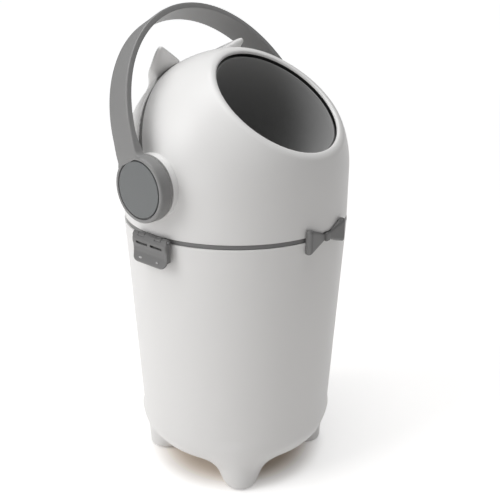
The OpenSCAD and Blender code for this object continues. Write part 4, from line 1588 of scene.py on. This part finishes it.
@dataclass
class Latch(Datum):
    """The side latch with its two slots, its pips and its pin."""

    width: float = 56.0
    height: float = 32.6
    corner: float = 10.0
    proud: float = 4.8
    rim_round: float = 2.0
    cheek_t: float = 2.5
    slot_mid: float = 12.0
    slot_half: float = 9.5
    slot_h: float = 3.0
    slot_drop: float = 8.6
    slot_deep: float = 3.3
    slot_round: float = 1.2
    hole_edge: float = 0.7
    ear_half: float = 5.1
    bore_r: float = 1.3
    pin_r: float = 1.25
    pin_half: float = 27.5
    pip_y: float = 14.0
    pip_drop: float = 26.0
    pip_out: float = 5.35
    pip_wide: tuple[float, float] = (1.7, 2.6)
    pip_tall: float = 1.15
    front: tuple[Row, ...] = (
        (-34.5, 1.2), (-31.5, 2.0), (-29.5, 1.9), (-26.0, 0.2), (-20.5, -1.9),
        (-15.0, -1.9), (-8.5, 0.3), (-4.0, 0.2), (0.8, -1.5), (3.0, -3.2),
    )
    back: tuple[Row, ...] = ((-34.5, -2.0), (-33.0, -2.2), (-27.0, -3.2), (-21.0, -4.0), (3.0, -4.0))

    def plate(self, u: np.ndarray, y: np.ndarray, z: np.ndarray) -> tuple[np.ndarray, np.ndarray]:
        """Distances to the waved plate.

        Args:
            u: Distance out from the bin, measured from the plate's middle.
            y: Distance from the latch's middle, without its sign.
            z: Height above the pin.

        Returns:
            The distance to the plate and the one to its outline.
        """
        zs, us = np.array(self.front).T
        dense = np.linspace(zs[0], zs[-1], 160)
        window = np.hanning(21)
        waved = np.pad(np.interp(dense, zs, us), 9, mode="edge")
        face = np.convolve(waved, window[1:-1] / window.sum(), mode="valid")
        thick = soft_max(u - np.interp(z, dense, face), np.interp(z, *np.array(self.back).T) - u, 0.8)
        half, r = self.width / 2, self.corner
        a, b = y - (half - r), r - self.height - z
        bend = np.hypot(a, b) - r
        outline = np.where((a > 0) & (b > 0), bend, np.maximum(y - half, -self.height - z))
        outline = soft_max(outline, z - 0.6, 1.0)
        return soft_max(thick, outline, self.rim_round), outline

    def field_of(self, p: np.ndarray) -> np.ndarray:
        """Distance to the latch.

        Args:
            p: Points.

        Returns:
            The distances, negative inside.
        """
        u, y = -p[..., 0] - self.latch_x - self.proud, np.abs(p[..., 1])
        z = p[..., 2] - (self.seam - self.latch_drop)
        half, from_pin = self.width / 2, np.hypot(u + self.proud, z)
        plate, outline = self.plate(u, y, z)
        cheek = np.maximum(np.maximum(outline, half - self.cheek_t - y), np.maximum(-7.9 - u, u + 2.0))
        cheek = np.maximum(cheek, np.maximum(z + 2.0, 8 - self.height - z))
        rod = np.maximum(from_pin - self.latch_barrel, y - half + 0.2)
        d = soft_min(soft_min(plate, cheek, 1.2), rod, 1.4)
        slot = np.abs(y - self.slot_mid) - self.slot_half
        slot = soft_max(slot, np.abs(z + self.slot_drop) - self.slot_h / 2, self.slot_round)
        slot = np.maximum(slot, -self.slot_deep - u)
        ear = np.maximum(np.abs(y - self.latch_ear) - self.ear_half, -self.latch_barrel - 0.3 - z)
        ear = np.maximum(ear, u + 1.3)
        for hole in (slot, ear, from_pin - self.bore_r):
            d = soft_max(d, -hole, self.hole_edge)
        return d

    def pips(self) -> bpy.types.Object:
        """Builds the two small raised pips on the latch's face; their pale finish is a painted glint.

        Returns:
            The pips as one object.
        """
        shape = Shape()
        rows = [(0.0, -0.6), (1.0, -0.6), (1.0, 0.3), (0.85, 0.6), (0.5, 0.8), (0.0, 0.85)]
        x, z = -self.latch_x - self.pip_out, self.seam - self.latch_drop - self.pip_drop
        for (s, _), wide in zip(SIDES, self.pip_wide):
            here = Place((x, s * self.pip_y, z), (0, 1, 0), (0, 0, 1), (-1, 0, 0))
            points = turned(rows, Place(), 24) * (wide, self.pip_tall, 1)
            shape.sheet(here.put(points), close_cols=True)
        return shape.build("latch_pips")

    def fit(self) -> None:
        """Puts the latch's pieces on the bin."""
        z = self.seam - self.latch_drop
        body = skin("side_latch", self.field_of, (-153, -29.5, z - 36), (-139.5, 29.5, z + 5), 0.62)
        install(body, Body.LATCH, Finish.TRIM)
        install(self.pips(), Body.LATCH, Finish.MARK, replaces=False)
        along = Place((-self.latch_x, 0, z), (1, 0, 0), (0, 0, -1), (0, 1, 0))
        pin = turned_solid("latch_pin", pin_profile(self.pin_r, self.pin_half, 0.4, 0.9), [along], 24)
        install(pin, Body.HEAD, Finish.STEEL)


@dataclass
class Hinge(Datum):
    """The hinge on the far side: two leaves, their screws and the pin."""

    pin_x: float = 147.6
    pin_drop: float = 2.75
    pin_r: float = 2.0
    pin_half: float = 20.5
    knuckle: float = 4.6
    width: float = 40.0
    corner: float = 3.0
    mid: float = 13.0
    gap: float = 0.3
    low_top: float = 1.0
    low_mid: float = 2.0
    low_h: float = 21.0
    low_t: float = 3.6
    high_foot: float = 1.4
    high_h: float = 14.5
    high_t: float = 3.1
    lift: float = 0.1
    pitch: float = 26.0
    sink_r: float = 3.3
    hole_r: float = 1.55
    screw: Screw = Screw(1.5, 3.1)
    screw_x: tuple[float, float, float] = (-7.0, 1.7, 3.7)

    def leaf(self, rad: np.ndarray, y: np.ndarray, z: np.ndarray, span: Row, thick: float) -> np.ndarray:
        """Distance to a leaf's bent plate.

        Args:
            rad: Distance out from the shell that it lies on.
            y: Distance from the hinge's middle, without its sign.
            z: Height.
            span: Its lower and upper edge.
            thick: Its thickness.

        Returns:
            The distances.
        """
        low, high = span
        plate = soft_max(rad - thick, self.lift - rad, 0.3)
        outline = soft_max(np.maximum(low - z, z - high), y - self.width / 2, self.corner)
        return soft_max(plate, outline, 1.2)

    def low_leaf(self, p: np.ndarray) -> np.ndarray:
        """Distance to the body's leaf, before its screw and pin holes.

        Args:
            p: Points.

        Returns:
            The distances, negative inside.
        """
        x, y, z = p[..., 0], np.abs(p[..., 1]), p[..., 2]
        r = np.hypot(x, p[..., 1])
        pin_z, inner = self.seam - self.pin_drop, self.mid / 2 + self.gap
        ends = np.maximum(inner - y, y - self.width / 2)
        span = (self.rim - self.low_mid - self.low_h, self.rim - self.low_top)
        plate = self.leaf(r - self.wall_r(z), y, z, span, self.low_t)
        block = np.abs(x - self.pin_x + 0.5) - self.knuckle + 0.5
        web = np.maximum(np.maximum(block, np.maximum(self.rim - 6 - z, z - pin_z)), ends)
        web = np.maximum(web, 0.2 - (r - self.body_r))
        tube = np.maximum(np.hypot(x - self.pin_x, z - pin_z) - self.knuckle, ends)
        d = soft_min(plate, soft_min(tube, web, 0.8), 1.6)
        room = np.maximum(np.maximum(self.pin_x - self.knuckle - 4 - x, y - inner), self.rim - 3 - z)
        return np.maximum(d, -room)

    def high_leaf(self, p: np.ndarray) -> np.ndarray:
        """Distance to the head's leaf, before its screw and pin holes.

        Args:
            p: Points.

        Returns:
            The distances, negative inside.
        """
        x, y, z = p[..., 0], np.abs(p[..., 1]), p[..., 2]
        rad = np.hypot(x, p[..., 1]) - self.dome_r
        pin_z, low, ends = self.seam - self.pin_drop, self.seam + self.high_foot, y - self.mid / 2
        plate = self.leaf(rad, y, z, (low, low + self.high_h), self.high_t)
        web = np.maximum(np.maximum(0.4 - rad, x - self.pin_x - 0.6), np.maximum(pin_z - z, z - low - 3))
        tube = np.maximum(np.hypot(x - self.pin_x, z - pin_z) - self.knuckle, ends)
        return soft_min(plate, soft_min(tube, np.maximum(web, ends), 0.8), 1.2)

    def holed(self, p: np.ndarray, d: np.ndarray, screw_z: float, shell_r: float) -> np.ndarray:
        """Cuts the screw and pin holes out of a leaf.

        Args:
            p: Points.
            d: Distance to the leaf.
            screw_z: Height of the screws.
            shell_r: Radius of the shell behind it at that height.

        Returns:
            The distances.
        """
        x, y, z = p[..., 0], np.abs(p[..., 1]), p[..., 2]
        from_screw = np.hypot(y - self.pitch / 2, z - screw_z)
        sink = np.maximum(from_screw - self.sink_r, shell_r + 1.6 - x)
        d = np.maximum(soft_max(d, -sink, 0.5), self.hole_r - from_screw)
        return np.maximum(d, self.pin_r + 0.05 - np.hypot(x - self.pin_x, z - (self.seam - self.pin_drop)))

    def fit(self) -> None:
        """Puts the hinge's pieces on the bin."""
        pin_z, half = self.seam - self.pin_drop, self.width / 2 + 1.5
        low_z = self.rim - self.low_mid - self.low_h / 2
        high_z = self.seam + self.high_foot + self.high_h / 2
        leaves = (
            ("base", Body.BASE, self.low_leaf, low_z, self.wall_r(low_z), (self.rim - 25, pin_z + 6)),
            ("head", Body.HEAD, self.high_leaf, high_z, self.dome_r, (pin_z - 6, self.seam + 18)),
        )
        for name, body, field_of, z, r, (low, high) in leaves:

            def cut(p: np.ndarray) -> np.ndarray:
                """Distance to this leaf with its holes."""
                return self.holed(p, field_of(p), z, r)

            leaf = skin(f"hinge_leaf_{name}", cut, (133, -half, low), (154, half, high), 0.62)
            install(leaf, body, Finish.TRIM)
        for name, body, _, z, r, _ in leaves:
            places = [self.outward(s * self.pitch / 2, z) for s, _ in SIDES]
            profile = self.screw.profile(*(r + x for x in self.screw_x))
            install(turned_solid(f"hinge_{name}_screws", profile, places, 32), body, Finish.STEEL)
        along = Place((self.pin_x, 0, pin_z), (1, 0, 0), (0, 0, -1), (0, 1, 0))
        pin = turned_solid("hinge_pin", pin_profile(self.pin_r, self.pin_half, 0.5, 1.5), [along], 32)
        install(pin, Body.BASE, Finish.STEEL)


@dataclass
class Bow(Datum):
    """The bow tie on the front of the seam and its two hidden screws."""

    half: float = 35.0
    end_h: float = 31.0
    waist_h: float = 9.0
    depth: float = 8.0
    waist_d: float = 1.0
    wing_round: float = 4.5
    tip_round: float = 4.0
    knot: Point = (7.5, 10.5, 3.6)
    knot_round: float = 1.6
    drop: float = 5.0
    back: float = 140.9
    pitch: float = 54.0
    boss_r: float = 2.4
    boss_lift: float = 5.8
    boss_y: tuple[float, float] = (142.0, 134.0)
    screw: Screw = Screw(1.2, 2.4)
    screw_y: tuple[float, float, float] = (-142.5, -134.3, -132.7)

    def wing(self, x: np.ndarray, y: np.ndarray, z: np.ndarray) -> np.ndarray:
        """Distance to the two wings, without their hollow back.

        Args:
            x: Distance from the bow's middle, without its sign.
            y: Distance behind the bin's axis.
            z: Height above or below the bow's middle, without its sign.

        Returns:
            The distances, negative inside.
        """
        slope = unit([-(self.end_h - self.waist_h) / 2, self.half - 1.0])
        top = slope[0] * (x - 1) + slope[1] * (z - self.waist_h / 2)
        outline = soft_max(top, x - self.half, self.tip_round)
        end_y = -math.sqrt(self.back**2 - self.half**2) - self.depth
        inner = -self.back - self.waist_d
        across = [0, self.knot[0] / 2 - 1, self.half - 4, self.half - 1.5, self.half]
        face = np.interp(x, across, [inner, inner, end_y, end_y, end_y + 0.8])
        return soft_max(outline, face - y, self.wing_round)

    def knot_field(self, x: np.ndarray, y: np.ndarray, z: np.ndarray) -> np.ndarray:
        """Distance to the knot.

        Args:
            x: Distance from the bow's middle, without its sign.
            y: Distance behind the bin's axis.
            z: Height above or below the bow's middle, without its sign.

        Returns:
            The distances, negative inside.
        """
        w, h, d = self.knot
        e = self.knot_round
        q = np.stack([x - w / 2 + e, -(y + self.back) - d + e, z - h / 2 + e])
        return np.sqrt((np.maximum(q, 0) ** 2).sum(0)) - e + np.minimum(q.max(0), 0)

    def field_of(self, p: np.ndarray) -> np.ndarray:
        """Distance to the bow.

        Args:
            p: Points.

        Returns:
            The distances, negative inside.
        """
        x, y, z = np.abs(p[..., 0]), p[..., 1], np.abs(p[..., 2] - self.seam + self.drop)
        behind = y + np.sqrt(np.maximum(self.back**2 - x * x, 1))
        wing = soft_max(self.wing(x, y, z), behind, 0.6)
        both = soft_min(wing, np.maximum(self.knot_field(x, y, z), behind), 0.5)
        far, near = self.boss_y
        boss = np.hypot(x - self.pitch / 2, p[..., 2] - self.seam - self.boss_lift) - self.boss_r
        boss = np.maximum(boss, np.maximum(y + near, -y - far))
        return soft_min(both, np.maximum(boss, self.dome_r + 0.1 - np.hypot(x, y)), 0.3)

    def fit(self) -> None:
        """Puts the bow and its screws on the bin."""
        z = self.seam - self.drop
        bow = skin("bow_tie", self.field_of, (-37.5, -149.5, z - 17), (37.5, -132, z + 17), 0.66)
        install(bow, Body.HEAD, Finish.TRIM)
        at = [(s * self.pitch / 2, 0, self.seam + self.boss_lift) for s, _ in SIDES]
        places = [Place(origin, (0, 0, 1), (1, 0, 0), (0, 1, 0)) for origin in at]
        screws = turned_solid("bow_tie_screws", self.screw.profile(*self.screw_y), places, 28)
        install(screws, Body.HEAD, Finish.STEEL)


PARTS: tuple[type, ...] = (BodyShell, Hood, Drum, Handle, Collar, Latch, Hinge, Bow)


# ------------------------------------------------------------------- studio


@dataclass
class Studio:
    """Pale floor with a warm shadow painted round the bin, soft lights and the camera, in metres."""

    eye: Point = (-0.6916, -0.6152, 0.6358)
    ahead: Point = (0.699, 0.622, -0.3525)
    lens: float = 54.81
    sensor: float = 36.0
    shift: float = 0.0288
    sight: float = 200.0
    floor_size: float = 60.0
    paper: Colour = (0.9, 0.885, 0.872)
    # Warm brown of the shadow painted on the floor round the bin.
    shade: Colour = (0.9, 0.79, 0.68)
    glow_tint: Colour = (0.99, 1.0, 1.01)
    dull: float = 0.9
    sheen: float = 0.1
    # Radii in metres over which the painted shadow fades out and the near glow comes in.
    near: Row = (0.076, 0.126)
    far: Row = (0.9, 4.2)
    glow: Row = (0.41, 0.44)
    world: float = 0.19
    aim: Point = (0.0, 0.0, 0.32)
    lamps: tuple[tuple[str, Point, float, float], ...] = (
        ("key", (-2.1, 0.9, 1.6), 1.3, 19.1),
        ("key_high", (-1.6, 0.8, 2.6), 1.3, 10.9),
        ("low", (-2.1, 0.9, 0.6), 1.0, 3.5),
        ("low_front", (-2.2, -0.4, 0.35), 1.0, 4.7),
        ("top", (0.0, 0.0, 3.0), 2.0, 48.0),
    )

    def place(self, name: str, data: bpy.types.ID, at: Point, way: Vector) -> bpy.types.Object:
        """Puts a camera or a light in the scene.

        Args:
            name: Name of the object.
            data: Its camera or light data.
            at: Where it stands.
            way: Direction that it faces.

        Returns:
            The object.
        """
        obj = bpy.data.objects.new(name, data)
        bpy.context.scene.collection.objects.link(obj)
        obj.location = at
        obj.rotation_euler = way.to_track_quat("-Z", "Y").to_euler()
        return obj

    def camera(self) -> None:
        """Places the camera."""
        data = bpy.data.cameras.new("camera")
        data.lens = self.lens
        data.sensor_width = self.sensor
        data.shift_x = self.shift
        data.clip_end = self.sight
        bpy.context.scene.camera = self.place("camera", data, self.eye, Vector(self.ahead))

    def glow_at(self, tree: bpy.types.NodeTree) -> tuple[bpy.types.NodeSocket, bpy.types.NodeSocket]:
        """Reads how far a point of the floor is from the bin.

        Args:
            tree: The floor's nodes.

        Returns:
            How far it is out of the warm shade painted round the bin, from 0 to 1, and how strongly it
            glows; the glow fades out near the bin, which paints its shadow darker.
        """
        link = tree.links.new
        place = add_node(tree, "TexCoord")
        away = add_node(tree, "VectorMath", {"operation": "LENGTH"})
        link(place.outputs["Object"], away.inputs[0])
        steps = []
        for (low, high), kind in ((self.near, "SMOOTHSTEP"), (self.far, "LINEAR")):
            span = {"From Min": low, "From Max": high}
            rise = add_node(tree, "MapRange", {"interpolation_type": kind}, span)
            link(away.outputs["Value"], rise.inputs["Value"])
            steps.append(rise.outputs["Result"])
        near = add_node(tree, "Math", {"operation": "MULTIPLY"}, {1: self.glow[0]})
        total = add_node(tree, "Math", {"operation": "MULTIPLY_ADD"}, {1: self.glow[1]})
        link(steps[0], near.inputs[0])
        link(steps[1], total.inputs[0])
        link(near.outputs[0], total.inputs[2])
        return steps[0], total.outputs[0]

    def paper_finish(self) -> bpy.types.Material:
        """Makes the floor's material: pale paper that glows for the camera and in reflections, with a warm
        brown shadow painted round the bin, where its glow also fades.

        Returns:
            The material.
        """
        mat = bpy.data.materials.new("studio_floor")
        mat.use_nodes = True
        tree = mat.node_tree
        link = tree.links.new
        shader = tree.nodes["Principled BSDF"]
        shader.inputs["Roughness"].default_value = self.dull
        shader.inputs["Specular IOR Level"].default_value = self.sheen
        clear, strength = self.glow_at(tree)
        glow = add_node(tree, "Emission", sockets={"Color": (*self.glow_tint, 1)})
        tint = add_node(tree, "Mix", {"data_type": "RGBA"}, {"A": (*self.shade, 1), "B": (*self.paper, 1)})
        both, seen = add_node(tree, "AddShader"), add_node(tree, "MixShader")
        ray = add_node(tree, "LightPath")
        either = add_node(tree, "Math", {"operation": "MAXIMUM"})
        link(strength, glow.inputs["Strength"])
        # Painted shadow: the warm shade tint near the bin, the paper tint further out.
        link(clear, tint.inputs["Factor"])
        link(tint.outputs["Result"], shader.inputs["Base Color"])
        link(shader.outputs["BSDF"], both.inputs[0])
        link(glow.outputs["Emission"], both.inputs[1])
        link(ray.outputs["Is Camera Ray"], either.inputs[0])
        link(ray.outputs["Is Glossy Ray"], either.inputs[1])
        link(either.outputs[0], seen.inputs["Fac"])
        link(shader.outputs["BSDF"], seen.inputs[1])
        link(both.outputs["Shader"], seen.inputs[2])
        link(seen.outputs["Shader"], tree.nodes["Material Output"].inputs["Surface"])
        return mat

    def floor(self) -> None:
        """Lays the floor."""
        mesh = bpy.data.meshes.new("floor")
        h = self.floor_size / 2
        mesh.from_pydata([(-h, -h, 0), (h, -h, 0), (h, h, 0), (-h, h, 0)], [], [(0, 1, 2, 3)])
        mesh.materials.append(self.paper_finish())
        obj = bpy.data.objects.new("floor", mesh)
        bpy.context.scene.collection.objects.link(obj)

    def surroundings(self) -> None:
        """Lights the scene dimly from all round, with a world that the camera sees as white."""
        world = bpy.data.worlds.new("studio")
        world.use_nodes = True
        tree = world.node_tree
        back = tree.nodes["Background"]
        back.inputs["Color"].default_value = (1, 1, 1, 1)
        ray = add_node(tree, "LightPath")
        seen = add_node(tree, "Math", {"operation": "MAXIMUM"}, {1: self.world})
        tree.links.new(ray.outputs["Is Camera Ray"], seen.inputs[0])
        tree.links.new(seen.outputs[0], back.inputs["Strength"])
        bpy.context.scene.world = world

    def light(self, name: str, at: Point, size: float, watts: float) -> None:
        """Hangs one soft square light that faces the bin.

        Args:
            name: Name of the light.
            at: Where it hangs.
            size: Side of the square.
            watts: Power.
        """
        data = bpy.data.lights.new(name, "AREA")
        data.size = size
        data.energy = watts
        self.place(name, data, at, Vector(self.aim) - Vector(at))

    def build(self) -> None:
        """Sets up the studio."""
        bpy.context.scene.view_settings.view_transform = "Standard"
        self.camera()
        self.floor()
        self.surroundings()
        for lamp in self.lamps:
            self.light(*lamp)


def main() -> None:
    """Builds the bin's looks piece by piece."""
    logging.basicConfig(level=logging.INFO, format="%(message)s")
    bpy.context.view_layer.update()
    for part in PARTS:
        part().fit()
    shown = [name for name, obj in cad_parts.items() if not obj.hide_render]
    LOG.info("CAD meshes still showing: %s", ", ".join(shown) or "none")
    Studio().build()


if __name__ == "__main__":
    main()
